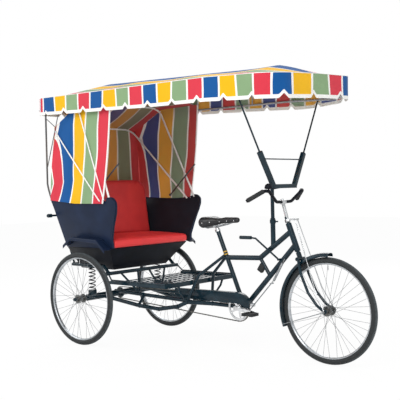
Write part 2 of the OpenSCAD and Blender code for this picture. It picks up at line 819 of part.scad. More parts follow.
module pedal(side) {
  translate(crank_axis) rotate([0, crank_turn, 0]) translate([side * -crank_len, side * (arm_y + 7), 0])
    rotate([0, -crank_turn, 0]) {
      rotate([side > 0 ? -90 : 90, 0, 0]) cylinder(h = 92, d = 14, $fn = round_fn);
      for (x = [-32, 32]) translate([x - 13, side > 0 ? 10 : -88, -10]) cube([26, 78, 20]);
      for (y = [12, 80]) translate([-34, side > 0 ? y - 2 : -y - 2, -6]) cube([68, 4, 12]);
    }
}
module pedals() {
  color(black) { pedal(-1); pedal(1); }
}

placed() front_frame();
placed() lower_frame();
placed() centre_beams();
placed() seat_stays();
placed() rear_axle();
placed() suspension_springs();
placed() body_frame();
placed() foot_rack();
placed() seat_base();
placed() side_panels();
placed() back_panel();
placed() seat_cushion();
placed() back_cushion();
placed() rear_mudguards();
placed() push_handle();
placed() canopy_roof();
placed() canopy_valance();
placed() canopy_frame();
placed() rear_posts();
placed() canopy_mast();
placed() canopy_fork();
placed() hood_bows();
placed() hood_cover();
placed() side_curtains();
placed() saddle();
placed() seat_post();
placed() chain_case();
placed() chain();
placed() hand_brake();
placed() brake_rods();
placed() steering_fork();
placed() front_axle();
placed() handlebar();
placed() grips();
placed() bell();
placed() front_mudguard();
placed() truss_rods();
placed() front_tyre();
placed() front_rim();
placed() front_hub_spokes();
placed() right_tyre();
placed() right_rim();
placed() right_hub_spokes();
placed() left_tyre();
placed() left_rim();
placed() left_hub_spokes();
placed() crank_set();
placed() pedals();
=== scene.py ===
"""Cycle rickshaw: enamelled tricycle frame, red bench, folding hood and a striped cloth canopy."""
from math import asin, atan2, cos, dist, exp, hypot, pi, radians, sin, sqrt, tan

import bpy
from mathutils import Matrix, Vector


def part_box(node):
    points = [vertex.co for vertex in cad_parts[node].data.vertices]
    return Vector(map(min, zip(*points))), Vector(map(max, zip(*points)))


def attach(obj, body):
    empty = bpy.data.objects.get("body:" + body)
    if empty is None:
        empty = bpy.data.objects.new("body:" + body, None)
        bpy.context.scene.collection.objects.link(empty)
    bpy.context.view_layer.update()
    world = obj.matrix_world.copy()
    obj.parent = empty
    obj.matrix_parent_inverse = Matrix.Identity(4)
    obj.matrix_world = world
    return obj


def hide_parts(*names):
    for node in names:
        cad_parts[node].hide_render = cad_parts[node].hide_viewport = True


bl_info = {
    "name": "Cycle rickshaw",
    "version": (1, 0, 0),
    "blender": (4, 5, 0),
    "location": "View3D > Sidebar > Rickshaw",
    "description": "Builds a cycle rickshaw's cloth, seats, tyres and fittings around its packed frame",
    "category": "Add Mesh",
}

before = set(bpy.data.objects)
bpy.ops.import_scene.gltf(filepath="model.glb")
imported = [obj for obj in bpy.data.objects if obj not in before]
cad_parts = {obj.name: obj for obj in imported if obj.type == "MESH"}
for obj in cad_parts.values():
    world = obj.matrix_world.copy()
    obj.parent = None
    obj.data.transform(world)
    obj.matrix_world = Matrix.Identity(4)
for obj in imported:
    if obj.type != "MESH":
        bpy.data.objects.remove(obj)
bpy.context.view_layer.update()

# The rear axle's middle, from which every length below is measured in mm
AXLE_X = (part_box("rear_axle")[0].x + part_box("rear_axle")[1].x) / 2
WHEEL_R = 0.355
TYRE_R = 0.022
WHEELS = {
    "front": ("front_wheel", (1905, 0)),
    "right": ("right_wheel", (0, -490)),
    "left": ("left_wheel", (0, 490)),
}
# Canopy: height of the eave along its length, the ridge, and the half width
CANOPY_REAR, CANOPY_FRONT = -455, 1865
EAVE = [(-455, 1925), (100, 1919), (807, 1914), (1309, 1909), (1600, 1896), (1865, 1885)]
RIDGE = [(-455, 1925), (-110, 2047), (1559, 2001), (1865, 1912)]
DROP = [(-455, 134), (807, 158), (1865, 160)]
CANOPY_HALF = 498
RAIL_HALF, BOW_HALF, FRONT_BAR_HALF = 486, 478, 340
CORNER_FRONT, CORNER_REAR = 165, 45
BOW_PLACES = (-110, 340, 960, 1559)
MM = 0.001


def at(x, y, z):
    """A point given in mm from the ground under the rear axle."""
    return Vector((AXLE_X + x * MM, y * MM, z * MM))


def between(table, x):
    """The value at x along a table of (x, value)."""
    for (x0, v0), (x1, v1) in zip(table, table[1:]):
        if x <= x1:
            return v0 + (v1 - v0) * max(0.0, (x - x0) / (x1 - x0))
    return table[-1][1]


def lin(code):
    """An sRGB hex colour as linear red, green, blue and alpha."""
    parts = [int(code[i:i + 2], 16) / 255 for i in (1, 3, 5)]
    return [c / 12.92 if c <= 0.04045 else ((c + 0.055) / 1.055) ** 2.4 for c in parts] + [1.0]


# ---------------------------------------------------------------- settings
def shade(label, code, text):
    return bpy.props.FloatVectorProperty(
        name=label, description=text, subtype="COLOR", size=4, min=0, max=1, default=lin(code))


class RickshawCloth(bpy.types.PropertyGroup):
    """Stripes and hems of the canopy, the hood and the curtains."""
    pitch: bpy.props.FloatProperty(
        name="Stripe pitch", description="Width of a stripe with its white gap", default=0.1385,
        min=0.05, max=0.4, unit="LENGTH")
    gap: bpy.props.FloatProperty(
        name="White gap", description="White line between two stripes", default=0.014,
        min=0.002, max=0.04, unit="LENGTH")
    hem: bpy.props.FloatProperty(
        name="Hem", description="Height of the white binding on the valance", default=0.024,
        min=0.005, max=0.06, unit="LENGTH")
    notch: bpy.props.FloatProperty(
        name="Notch spacing", description="Distance between the notches cut in the hem", default=0.227,
        min=0.1, max=0.5, unit="LENGTH")
    red: shade("Red", "#DC3A4C", "Red stripe")
    green: shade("Green", "#8CAB80", "Sage stripe")
    yellow: shade("Yellow", "#F2BC05", "Yellow stripe")
    blue: shade("Blue", "#00569B", "Blue stripe")
    white: shade("White", "#F7F7F4", "Gaps, hems and sleeves")


class RickshawFinish(bpy.types.PropertyGroup):
    """Colours of the paint, the seats and the rubber."""
    frame_paint: shade("Frame enamel", "#0D222C", "Stove enamel on the frame tubes")
    panel_paint: shade("Panel enamel", "#142036", "Enamel on the outside of the carriage")
    lining: shade("Lining", "#1E2028", "Painted inside of the carriage")
    seat: shade("Seat", "#E8393A", "Leathercloth of the bench")
    # Set a little darker than the bench's red: painted shade on the backrest
    seat_back: shade("Seat back", "#D83A3A", "Leathercloth of the backrest")
    rubber: shade("Rubber", "#1E2224", "Tyres and grips")


# ---------------------------------------------------------------- materials
def add(tree, kind, sockets=None, stops=None, **settings):
    """One shader node with its settings, its values or links, and the stops of its ramp.

    A node given as a value is linked from its first output.
    """
    n = tree.nodes.new("ShaderNode" + kind)
    for key, value in settings.items():
        setattr(n, key, value)
    for key, value in (sockets or {}).items():
        if isinstance(value, bpy.types.Node):
            value = value.outputs[0]
        if isinstance(value, bpy.types.NodeSocket):
            tree.links.new(value, n.inputs[key])
        else:
            n.inputs[key].default_value = value
    if stops:
        while len(n.color_ramp.elements) < len(stops):
            n.color_ramp.elements.new(1.0)
        for element, (place, colour) in zip(n.color_ramp.elements, stops):
            element.position = place
            element.color = colour
    return n


def blank(name):
    """A new material with an empty tree."""
    mat = bpy.data.materials.new(name)
    mat.use_nodes = True
    mat.node_tree.nodes.clear()
    return mat, mat.node_tree


def hard(name, colour, worn, patch_mm, grain_mm, relief, rough, metallic=0.0, coat=0.0, shine=0.35):
    """Paint, plating or rubber: slow drifts of tone, and a fine grain in its gloss and relief."""
    mat, t = blank(name)
    place = add(t, "TexCoord").outputs["Object"]
    patch = add(t, "TexNoise", {"Vector": place, "Scale": 1000 / patch_mm, "Detail": 5.0})
    grain = add(t, "TexNoise", {"Vector": place, "Scale": 1000 / grain_mm, "Detail": 3.0})
    tone = add(t, "ValToRGB", {"Fac": patch},
               stops=[(0.42, colour), (0.7, worn)])
    gloss = add(t, "MapRange",
                {"Value": grain, "To Min": rough[0], "To Max": rough[1]})
    bump = add(t, "Bump",
               {"Height": grain, "Strength": relief, "Distance": grain_mm * MM * 0.3})
    shader = add(t, "BsdfPrincipled", {
        "Base Color": tone, "Roughness": gloss,
        "Normal": bump, "Metallic": metallic, "Coat Weight": coat, "Specular IOR Level": shine,
        "Coat Roughness": 0.08})
    add(t, "OutputMaterial", {"Surface": shader})
    return mat


def grained(name, colour, dark, cell_mm, relief, rough, sheen=0.0):
    """Leathercloth or leather: a net of fine cells pressed in the skin, rougher down in its creases, over a
    soft cloudy tone.
    """
    mat, t = blank(name)
    place = add(t, "TexCoord").outputs["Object"]
    cells = add(t, "TexVoronoi", {"Vector": place, "Scale": 1000 / cell_mm},
                feature="DISTANCE_TO_EDGE")
    cloud = add(t, "TexNoise", {"Vector": place, "Scale": 7.0, "Detail": 4.0})
    tone = add(t, "ValToRGB", {"Fac": cloud},
               stops=[(0.3, dark), (0.62, colour)])
    crease = add(t, "MapRange", {"Value": cells, "From Max": 0.25,
                                           "To Min": rough[1], "To Max": rough[0]})
    bump = add(t, "Bump",
               {"Height": cells, "Strength": relief, "Distance": 0.0008})
    shader = add(t, "BsdfPrincipled", {
        "Base Color": tone, "Roughness": crease,
        "Normal": bump, "Sheen Weight": sheen, "Specular IOR Level": 0.4})
    add(t, "OutputMaterial", {"Surface": shader})
    return mat


def woven(name, colours, white, pitch, gap, hem, lit):
    """Awning cloth: printed stripes across the cut, a white hem at its foot, and a plain weave.

    The threads are drawn 3 mm apart, coarser than they are, so that they show. lit lets light through.
    """
    mat, t = blank(name)
    cut = add(t, "UVMap", uv_map="cut").outputs["UV"]
    spot = add(t, "SeparateXYZ", {"Vector": cut})
    turns = add(t, "Math", {0: spot.outputs["X"], 1: 1 / (pitch * len(colours))},
                operation="MULTIPLY")
    turn = add(t, "Math", {0: turns}, operation="FRACT")
    stops = []
    edge = gap / pitch / 2
    for i, colour in enumerate(colours):
        stops += [(i / len(colours), white), ((i + edge) / len(colours), colour),
                  ((i + 1 - edge) / len(colours), white)]
    stripes = add(t, "ValToRGB", {"Fac": turn}, stops=stops)
    stripes.color_ramp.interpolation = "CONSTANT"
    foot = add(t, "Math", {0: spot.outputs["Y"], 1: hem}, operation="LESS_THAN")
    bound = add(t, "Mix", {0: foot, 6: stripes, 7: white},
                data_type="RGBA")
    fade = add(t, "TexNoise", {"Vector": cut, "Scale": 3.0, "Detail": 4.0})
    level = add(t, "MapRange",
                {"Value": fade, "From Min": 0.3, "From Max": 0.7,
                 "To Min": 0.93, "To Max": 1.04})
    sun = add(t, "HueSaturation",
              {"Color": bound.outputs[2], "Value": level})
    warp = add(t, "TexWave", {"Vector": cut, "Scale": 105.0, "Distortion": 0.4},
               bands_direction="X")
    weft = add(t, "TexWave", {"Vector": cut, "Scale": 105.0, "Distortion": 0.4},
               bands_direction="Y")
    weave = add(t, "Math", {0: warp.outputs["Fac"], 1: weft.outputs["Fac"]},
                operation="MULTIPLY")
    bump = add(t, "Bump",
               {"Height": weave, "Strength": 0.12, "Distance": 0.0005})
    cloth = add(t, "BsdfPrincipled", {
        "Base Color": sun, "Roughness": 0.78, "Normal": bump,
        "Specular IOR Level": 0.25, "Sheen Weight": 0.1})
    through = add(t, "BsdfTranslucent", {"Color": sun})
    both = add(t, "MixShader",
               {0: lit, 1: cloth, 2: through})
    add(t, "OutputMaterial", {"Surface": both})
    return mat


def tyre_rubber(name, x, y, rubber):
    """Vulcanised rubber: sooty black on the sidewall, with pale road dust on the tread's crown."""
    mat, t = blank(name)
    place = add(t, "TexCoord").outputs["Object"]
    hub = at(x, y, WHEEL_R / MM)
    centred = add(t, "Mapping", {"Vector": place, "Location": (-hub.x, 0, -hub.z),
                                           "Scale": (1, 0, 1)})
    reach = add(t, "VectorMath", {0: centred}, operation="LENGTH")
    noise = add(t, "TexNoise", {"Vector": place, "Scale": 60.0, "Detail": 5.0})
    mottle = add(t, "Math", {0: noise, 1: 0.012, 2: reach.outputs["Value"]},
                 operation="MULTIPLY_ADD")
    dust = add(t, "MapRange", {"Value": mottle, "From Min": WHEEL_R - 0.004,
                                         "From Max": WHEEL_R + 0.009, "To Min": 0.0, "To Max": 1.0})
    tone = add(t, "ValToRGB", {"Fac": dust},
               stops=[(0.0, rubber), (1.0, lin("#4E565A"))])
    bump = add(t, "Bump", {"Height": noise, "Strength": 0.15, "Distance": 0.001})
    shader = add(t, "BsdfPrincipled", {
        "Base Color": tone, "Roughness": 0.72, "Normal": bump})
    add(t, "OutputMaterial", {"Surface": shader})
    return mat


MATS = {}


def mix_finishes():
    """Makes every material once, from the settings."""
    cloth, paint = bpy.context.scene.rickshaw_cloth, bpy.context.scene.rickshaw_finish
    white = list(cloth.white)
    full = [list(c) for c in (cloth.red, cloth.green, cloth.yellow, cloth.blue)]
    # Paler copies of the stripe colours for the cloth's inner face: painted light shining through from
    # behind
    soft = [lin(c) for c in ("#E2716F", "#B4C8B0", "#F0CF70", "#7480B8")]
    # Dimmer copies of the stripe colours for the inside of the hood: painted shade
    shade_painted_colours = [lin(c) for c in ("#DC6466", "#A5A58C", "#DDB068", "#78729C")]
    MATS.update(
        # Stove enamel, sprayed: deep gloss with orange peel and a little dull bloom
        enamel=hard("stove_enamel_teal", list(paint.frame_paint), lin("#142C37"), 60, 3, 0.10,
                    (0.16, 0.28), coat=0.12, shine=0.22),
        # The same enamel on sheet steel: broad soft drifts of gloss over the panel
        panel=hard("stove_enamel_navy", list(paint.panel_paint), lin("#1A2842"), 160, 3, 0.12,
                   (0.32, 0.44), shine=0.16),
        # Matt lining paint: near black and even, with chalky patches
        lining=hard("lining_paint_black", list(paint.lining), lin("#23262F"), 120, 5, 0.18,
                    (0.5, 0.65), shine=0.2),
        # Japanned sheet steel of the seat box: satin black
        japan=hard("japanned_steel", lin("#0E1118"), lin("#151922"), 90, 4, 0.15, (0.42, 0.54), shine=0.12),
        # Chromium plate: bright, with faint cloudy pitting
        chrome=hard("chromium_plate", lin("#D6D8DA"), lin("#A9ABAC"), 45, 6, 0.03, (0.10, 0.24), 1.0),
        # Polished alloy rims: paler and more even than chrome
        alloy=hard("polished_alloy_rim", lin("#BEC2C6"), lin("#9DA2A6"), 40, 4, 0.04, (0.24, 0.38), 0.85),
        # Drawn steel spokes: darker than the plating, so that they stand out against the ground
        spoke=hard("drawn_steel_spokes", lin("#75797C"), lin("#5A5E61"), 20, 4, 0.05, (0.3, 0.45), 0.6),
        # Zinc-plated wire: grey and softer than chrome
        zinc=hard("zinc_plated_wire", lin("#A2A6A9"), lin("#7E8285"), 30, 4, 0.06, (0.3, 0.45), 1.0),
        # Weathered steel tube: dull grey with a brown cast
        weathered=hard("weathered_steel_tube", lin("#54565A"), lin("#6A6460"), 50, 5, 0.2, (0.45, 0.6), 0.6),
        # Galvanised rail tube: pale dull zinc with a faint spangle
        rail=hard("galvanised_rail_tube", lin("#B4B8BA"), lin("#9A9EA0"), 24, 5, 0.1, (0.4, 0.55), 0.5),
        # Oiled chain steel: dark between its worn plates
        oiled=hard("oiled_chain_steel", lin("#7B7B78"), lin("#3A3936"), 14, 3, 0.1, (0.3, 0.5), 0.9),
        # Moulded rubber: matt with a fine bloom
        rubber=hard("moulded_rubber", list(paint.rubber), lin("#2A2A2B"), 40, 2, 0.2, (0.6, 0.78)),
        # Leathercloth (calendered vinyl on cotton): fine pressed grain with a soft shine
        seat=grained("leathercloth_red", list(paint.seat), lin("#DA3235"), 3.2, 0.25, (0.38, 0.52)),
        # The backrest: the bench's leathercloth in a darker red, painted shade under the hood
        seat_back=grained("leathercloth_red_painted_shade", list(paint.seat_back), lin("#CC3436"), 3.2, 0.25,
                          (0.42, 0.56)),
        # Saddle hide: black with a broad open grain, buffed to a low roughness all over
        hide=grained("saddle_hide_black", lin("#26272A"), lin("#141416"), 2.4, 0.35, (0.30, 0.5)),
        # Printed awning cloth, seen from outside; then the same cloth with paler colours, painted light
        # shining through from behind, on top of its real translucency; then the same cloth with dimmer
        # colours and a greyer white, painted shade inside the hood
        awning=woven("awning_cloth", full, white, cloth.pitch, cloth.gap, cloth.hem, 0.18),
        awning_lit=woven("awning_cloth_backlit_painted", soft, white, cloth.pitch, cloth.gap, cloth.hem, 0.45),
        awning_shade=woven("awning_cloth_painted_shade", shade_painted_colours, lin("#E4DED6"), cloth.pitch, cloth.gap, 0.0, 0.4),
        # Plain white tape and sleeves of the same cloth
        tape=woven("white_cotton_tape", [white, white], white, 0.1, 0.001, 0.0, 0.1),
    )


# ---------------------------------------------------------------- shared modelling steps
def close():
    """Back to object mode."""
    bpy.ops.object.mode_set(mode="OBJECT")


def open_all():
    """Edit mode with the whole mesh selected."""
    bpy.ops.object.mode_set(mode="EDIT")
    bpy.ops.mesh.select_all(action="SELECT")


def pick(*objs):
    """Leaves only these selected, the first of them active."""
    if bpy.context.mode != "OBJECT":
        close()
    bpy.ops.object.select_all(action="DESELECT")
    for o in objs:
        o.select_set(True)
    bpy.context.view_layer.objects.active = objs[0]
    return objs[0]


def start(op, **args):
    """Adds a primitive with nothing else selected."""
    if bpy.context.mode != "OBJECT":
        close()
    bpy.ops.object.select_all(action="DESELECT")
    op(**args)
    return bpy.context.object


def join(objs):
    """One object from all of these."""
    pick(*objs)
    if len(objs) > 1:
        bpy.ops.object.join()
    return bpy.context.object


def change(o, kind, **settings):
    """Adds a modifier and applies it."""
    pick(o)
    bpy.ops.object.modifier_add(type=kind)
    mod = o.modifiers[-1]
    for key, value in settings.items():
        setattr(mod, key, value)
    bpy.ops.object.modifier_apply(modifier=mod.name)
    return o


def edit(o, mode, test):
    """Opens o in edit mode with the faces selected that pass the test."""
    pick(o)
    bpy.ops.object.mode_set(mode="EDIT")
    bpy.ops.mesh.select_mode(type=mode)
    bpy.ops.mesh.select_all(action="DESELECT")
    close()
    for f in o.data.polygons:
        f.select = bool(test(f))
    bpy.ops.object.mode_set(mode="EDIT")


def place(o, move=(0, 0, 0), spin=(0, 0, 0)):
    """Turns and moves o, and puts its place in its mesh."""
    pick(o)
    o.rotation_euler = spin
    o.location = Vector(move)
    bpy.ops.object.transform_apply(location=True, rotation=True, scale=True)
    return o


def twin(o, name):
    """A copy with its own mesh."""
    pick(o)
    bpy.ops.object.duplicate()
    copy = bpy.context.object
    copy.name = name
    return copy


def deliver(o, name, body, mats, smooth=35, stands_for=()):
    """Names a piece, gives it its materials and shading, and lets it ride on its body."""
    pick(o)
    bpy.ops.object.transform_apply(location=True, rotation=True, scale=True)
    o.name = o.data.name = name
    kept = [f.material_index for f in o.data.polygons]
    o.data.materials.clear()
    for mat in mats:
        o.data.materials.append(MATS[mat])
    for f, index in zip(o.data.polygons, kept):
        f.material_index = min(index, len(mats) - 1)
    bpy.ops.object.shade_smooth_by_angle(angle=radians(smooth))
    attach(o, body)
    if stands_for:
        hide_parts(*stands_for)
    return o


def eased(points, radius, steps=6):
    """The row of points with each corner rounded to about that radius."""
    out = [points[0]]
    for before, corner, after in zip(points, points[1:], points[2:]):
        a, b = (before - corner), (after - corner)
        cut = min(radius * tan((pi - a.angle(b)) / 2), a.length * 0.45, b.length * 0.45)
        p, q = corner + a.normalized() * cut, corner + b.normalized() * cut
        for i in range(steps + 1):
            s = i / steps
            out.append(p * (1 - s) ** 2 + corner * 2 * s * (1 - s) + q * s ** 2)
    return out + [points[-1]]


def path(points, cyclic=False):
    """A curve of straight steps through the points."""
    o = start(bpy.ops.curve.primitive_nurbs_path_add)
    o.data.splines.clear()
    spline = o.data.splines.new("POLY")
    spline.points.add(len(points) - 1)
    for slot, p in zip(spline.points, points):
        slot.co = (*p, 1)
    spline.use_cyclic_u = cyclic
    o.data.dimensions = "3D"
    return o


def tube(points, radius, bend=0.0, sides=4, cyclic=False):
    """A round bar along the points, from a curve with its ends closed."""
    way = [Vector(p) for p in points]
    line = path(eased(way, bend) if bend else way, cyclic).data
    line.bevel_depth = radius
    line.bevel_resolution = sides
    line.use_fill_caps = not cyclic
    bpy.ops.object.convert(target="MESH")
    return bpy.context.object


def block(size, middle=(0, 0, 0)):
    """A block to start a piece from."""
    o = start(bpy.ops.mesh.primitive_cube_add, size=1)
    o.dimensions = size
    return place(o, middle)


def discard(o):
    """Removes a pattern piece once it has been copied."""
    pick(o)
    bpy.ops.object.delete()


def mirrored(points):
    """The points as given, and the same points on the other side."""
    return [[Vector(p) for p in points], [Vector((p[0], -p[1], p[2])) for p in points]]


def loose_copy(node):
    """A copy of a CAD node that is tied to no body."""
    copy = twin(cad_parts[node], node + "_copy")
    copy.parent = None
    for key in [k for k in copy.keys() if k.startswith("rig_")]:
        del copy[key]
    return pick(copy)


def eased_copy(node, width, segments=3):
    """A copy of a CAD node with its faces merged and its hard edges rolled."""
    copy = loose_copy(node)
    open_all()
    bpy.ops.mesh.remove_doubles(threshold=0.00002)
    bpy.ops.mesh.dissolve_limited(angle_limit=radians(1))
    close()
    if copy.data.has_custom_normals:
        bpy.ops.mesh.customdata_custom_splitnormals_clear()
    change(copy, "BEVEL", width=width, segments=segments, limit_method="ANGLE",
           angle_limit=radians(30), use_clamp_overlap=True)
    return copy


def sheet(name, across, down, spot, cut, thick=0.0012, flip=False):
    """A cloth as a grid: spot(s, t) is a point on it and cut(s, t) the same point on the flat cloth."""
    verts, uvs = [], []
    for j in range(down + 1):
        for i in range(across + 1):
            verts.append(spot(i / across, j / down))
            uvs.append(cut(i / across, j / down))
    row = across + 1
    faces = [(j * row + i, j * row + i + 1, (j + 1) * row + i + 1, (j + 1) * row + i)
             for j in range(down) for i in range(across)]
    if flip:
        faces = [f[::-1] for f in faces]
    mesh = bpy.data.meshes.new(name)
    mesh.from_pydata(verts, [], faces)
    layer = mesh.uv_layers.new(name="cut")
    for loop in mesh.loops:
        layer.data[loop.index].uv = uvs[loop.vertex_index]
    o = bpy.data.objects.new(name, mesh)
    bpy.context.scene.collection.objects.link(o)
    # The inner shell takes the cloth's copy with painted light shining through from behind
    for mat in ("awning", "awning_lit"):
        mesh.materials.append(MATS[mat])
    area = sum(f.area for f in mesh.polygons)
    change(o, "SOLIDIFY", thickness=thick, offset=-1.0, material_offset=1, material_offset_rim=0)
    return o, area


# ---------------------------------------------------------------- canopy
def half_at(x):
    """Half the canopy's width at x, less where its corners are rounded."""
    half = CANOPY_HALF
    for end, r, way in ((CANOPY_FRONT, CORNER_FRONT, 1), (CANOPY_REAR, CORNER_REAR, -1)):
        past = min(r, way * (x - (end - way * r)))
        if past > 0:
            half -= r - sqrt(max(0.0, r * r - past * past))
    return half


def roof_z(x, y):
    """Height of the canopy cloth: a soft tent from eave to ridge that sags a little between its bows."""
    t = min(1.0, abs(y) / half_at(x))
    soft = (sqrt(t * t + 0.0012) - 0.0346) / (sqrt(1.0012) - 0.0346)
    eave, ridge = between(EAVE, x), between(RIDGE, x)
    sag = 0.0
    for low, high in zip(BOW_PLACES, BOW_PLACES[1:]):
        if low < x < high:
            sag = 9 * sin(pi * (x - low) / (high - low)) ** 2 * sin(pi * t)
    front = max(0.0, (x - RIDGE[2][0]) / (CANOPY_FRONT - RIDGE[2][0]))
    # The cloth is strained a little higher at the left of the front edge
    strain = 56 * (y / CANOPY_HALF + 1) / 2 * max(0.0, (x - 1350) / (CANOPY_FRONT - 1350)) ** 1.5
    return eave + (ridge - eave) * (1 - soft) * (1 - 0.85 * front ** 3) - sag + strain


def rim_pieces():
    """The canopy's outline from its near rear corner: straight runs and rounded corners, in mm."""
    h, f, r, a, b = CANOPY_HALF, CANOPY_FRONT, CANOPY_REAR, CORNER_FRONT, CORNER_REAR
    return [
        ((r + b, -h), (f - a, -h)), ((f - a, a - h), a, -90),
        ((f, a - h), (f, h - a)), ((f - a, h - a), a, 0),
        ((f - a, h), (r + b, h)), ((r + b, h - b), b, 90),
        ((r, h - b), (r, b - h)), ((r + b, b - h), b, 180),
    ]


def rim_lengths():
    return [dist(*p) if len(p) == 2 else p[1] * pi / 2 for p in rim_pieces()]


def rim(u):
    """The place and outward direction at the distance u mm round the canopy's outline."""
    for piece, length in zip(rim_pieces(), rim_lengths()):
        if u <= length:
            break
        u -= length
    u = min(u, length)
    if len(piece) == 2:
        (x0, y0), (x1, y1) = piece
        k = u / length
        return x0 + (x1 - x0) * k, y0 + (y1 - y0) * k, ((y1 - y0) / length, -(x1 - x0) / length)
    (x, y), r, first = piece
    angle = radians(first) + u / r
    out = (cos(angle), sin(angle))
    return x + r * out[0], y + r * out[1], out


# Stripes counted from the first rounded corner, against the distance past it
FRONT_STRIPES = [(0, 0), (122, 1), (280, 2), (514, 3), (718, 4), (894, 5), (1044, 6), (1184, 7)]


class RICKSHAW_OT_canopy(bpy.types.Operator):
    """Striped roof cloth over the ridge, and the notched valance round its eaves"""
    bl_idname = "rickshaw.canopy"
    bl_label = "Canopy cloth"

    def execute(self, context):
        cloth = context.scene.rickshaw_cloth
        long = CANOPY_FRONT - CANOPY_REAR

        def roof_spot(s, t):
            # Rows crowd together in the rounded ends
            x = CANOPY_REAR + s * long
            if s > 0.92:
                x = CANOPY_FRONT - CORNER_FRONT * (1 - sin((s - 0.92) / 0.08 * pi / 2))
            elif s > 0.02:
                x = CANOPY_REAR + CORNER_REAR + (s - 0.02) / 0.9 * (long - CORNER_REAR - CORNER_FRONT)
            else:
                x = CANOPY_REAR + CORNER_REAR * (1 - cos(s / 0.02 * pi / 2))
            y = (2 * t - 1) * half_at(x)
            return at(x, y, roof_z(x, y))

        def roof_cut(s, t):
            up_slope = (1 - abs(2 * t - 1)) ** 0.93 * 0.535
            return (0.02 + up_slope if t < 0.5 else 1.088 - up_slope), 0.3 + s * long * MM

        roof, area = sheet("roof", 160, 44, roof_spot, roof_cut)
        deliver(roof, "canopy_roof_cloth", "chassis", ["awning", "awning_lit"], 60,
                ["canopy_roof"])

        lengths = rim_lengths()
        whole, corner = sum(lengths), lengths[0]
        seam = corner + 1100
        pitch = cloth.pitch / MM

        def stripe(u):
            """Stripes from the first corner to u; the far strip starts a new length of cloth."""
            w = u - corner
            if w < 0:
                return w / pitch
            return between(FRONT_STRIPES, w) if u < seam else 9 + (w - 1190) / 131

        def notch(u):
            w = u - corner
            if u < 60 or u > whole - 60:
                return 0.0
            if 0 < w < 1100:
                return max(0.0, max(1 - abs(w - k) / 36 for k in (200, 530, 865))) * 33
            off = (w + 15) / (cloth.notch / MM)
            return max(0.0, 1 - abs(off - round(off)) * cloth.notch / MM / 28) * 27

        def drop_at(u):
            x, y, out = rim(u)
            far = 18 * max(0.0, sin(pi * min(1, max(0, (x + 300) / 1700)))) if y > 400 else 0
            return between(DROP, x) - notch(u) - far

        strips, total = [], 0
        for first, last in ((0, seam), (seam, whole)):
            def spot(s, t, first=first, last=last):
                u = first + s * (last - first)
                x, y, out = rim(min(max(u, 0.01), whole - 0.01))
                ripple = (2.5 * sin(u / 36.5) + 1.6 * sin(u / 91 + 1)) * (1 - t)
                return at(x + out[0] * ripple, y + out[1] * ripple, roof_z(x, y) - 1 - drop_at(u) * (1 - t))

            def cut(s, t, first=first, last=last):
                u = min(first + s * (last - first), last - 0.01)
                bend = 3.5 * sin(u / 61) * (1 - t) + 2 * sin(t * 3 + u / 140)
                return (1 - stripe(u)) * cloth.pitch + bend * MM, t * drop_at(u) * MM

            o, area = sheet("strip", int((last - first) / 7.0), 12, spot, cut, 0.0014)
            strips.append(o)
            total += area
        valance = deliver(join(strips), "canopy_valance_cloth", "chassis", ["awning", "awning_lit"],
                          60, ["canopy_valance"])

        # White welt sewn along the eave, where roof and valance meet
        line = []
        for i in range(340):
            x, y, out = rim(whole * i / 340)
            line.append(at(x, y, roof_z(x, y) + 0.5))
        welt = tube(line, 0.0022, sides=1, cyclic=True)
        deliver(welt, "canopy_welt", "chassis", ["tape"], 60)
        return {"FINISHED"}


class RICKSHAW_OT_canopy_frame(bpy.types.Operator):
    """Rails, bows, end bars, rear posts and stays that carry the canopy"""
    bl_idname = "rickshaw.canopy_frame"
    bl_label = "Canopy frame"

    def execute(self, context):
        rail = [(x, between(EAVE, x) - 96) for x in (-441, 1309, 1851)]
        bars = []
        for s in (-1, 1):
            ends = [at(x, s * RAIL_HALF, between(rail, x)) for x in (-441, 1309, 1700)]
            ends.append(at(1851, s * FRONT_BAR_HALF, rail[2][1] + 2))
            bars.append(tube(ends, 0.008, 0.2))
        for x in (340, 960, 1570):
            eave, ridge = between(EAVE, x) - 14, between(RIDGE, x) - 14
            low = between(rail, x)
            half = BOW_HALF
            bow = [at(x, -half, low), at(x, -half, eave), at(x, -60, ridge - 4), at(x, 60, ridge - 4),
                   at(x, half, eave), at(x, half, low)]
            bars.append(tube(bow, 0.006, 0.05))
        for x, half in ((-441, BOW_HALF), (1851, FRONT_BAR_HALF)):
            low = between(rail, x)
            ends = [(-half, low + 40), (-half, low), (half, low), (half, low + 40)]
            bars.append(tube([at(x, y, z) for y, z in ends], 0.006, 0.03))
        deliver(join(bars), "canopy_rails", "chassis", ["rail"], 40, ["canopy_frame"])

        posts = []
        for line in mirrored([at(-322, -477, 1092), at(-352, -486, 1190), at(-372, -482, 1240),
                              at(-372, -482, 1818)]):
            posts.append(tube(line, 0.007, 0.05))
        for line in mirrored([at(-366, -482, 1372), at(-205, -482, 1817)]):
            posts.append(tube(line, 0.0035))
        for line in mirrored([at(-368, -482, 1760), at(-290, -425, 1668)]):
            posts.append(tube(line, 0.003))
        deliver(join(posts), "rear_post_tubes", "chassis", ["weathered"], 40, ["rear_posts"])
        return {"FINISHED"}


# ---------------------------------------------------------------- hood
# Top of the side panels, from which the hood's sides lean in, as a slope, and half as much at the front hem
PANEL_TOP = 1078
LEAN = tan(radians(4.2))
HEM_LEAN = tan(radians(2.1))
# Foot and head of each curtain, x and z in mm from the rear to the front
CURTAIN_FOOT = [(-328, 1112), (-40, 1084), (284, 1082)]
CURTAIN_HEAD = [(-304, 1690), (24, 1860), (388, 1864)]
# How far the near curtain's stripes swing back at each height of its length
SWING = [(0, 90), (0.06, 100), (0.23, 140), (0.57, 80), (1, 30)]


def along_edge(edge, k):
    """The x and z on an edge of the curtain, k counting its points from the rear."""
    return [between(list(enumerate(row)), k) for row in zip(*edge)]


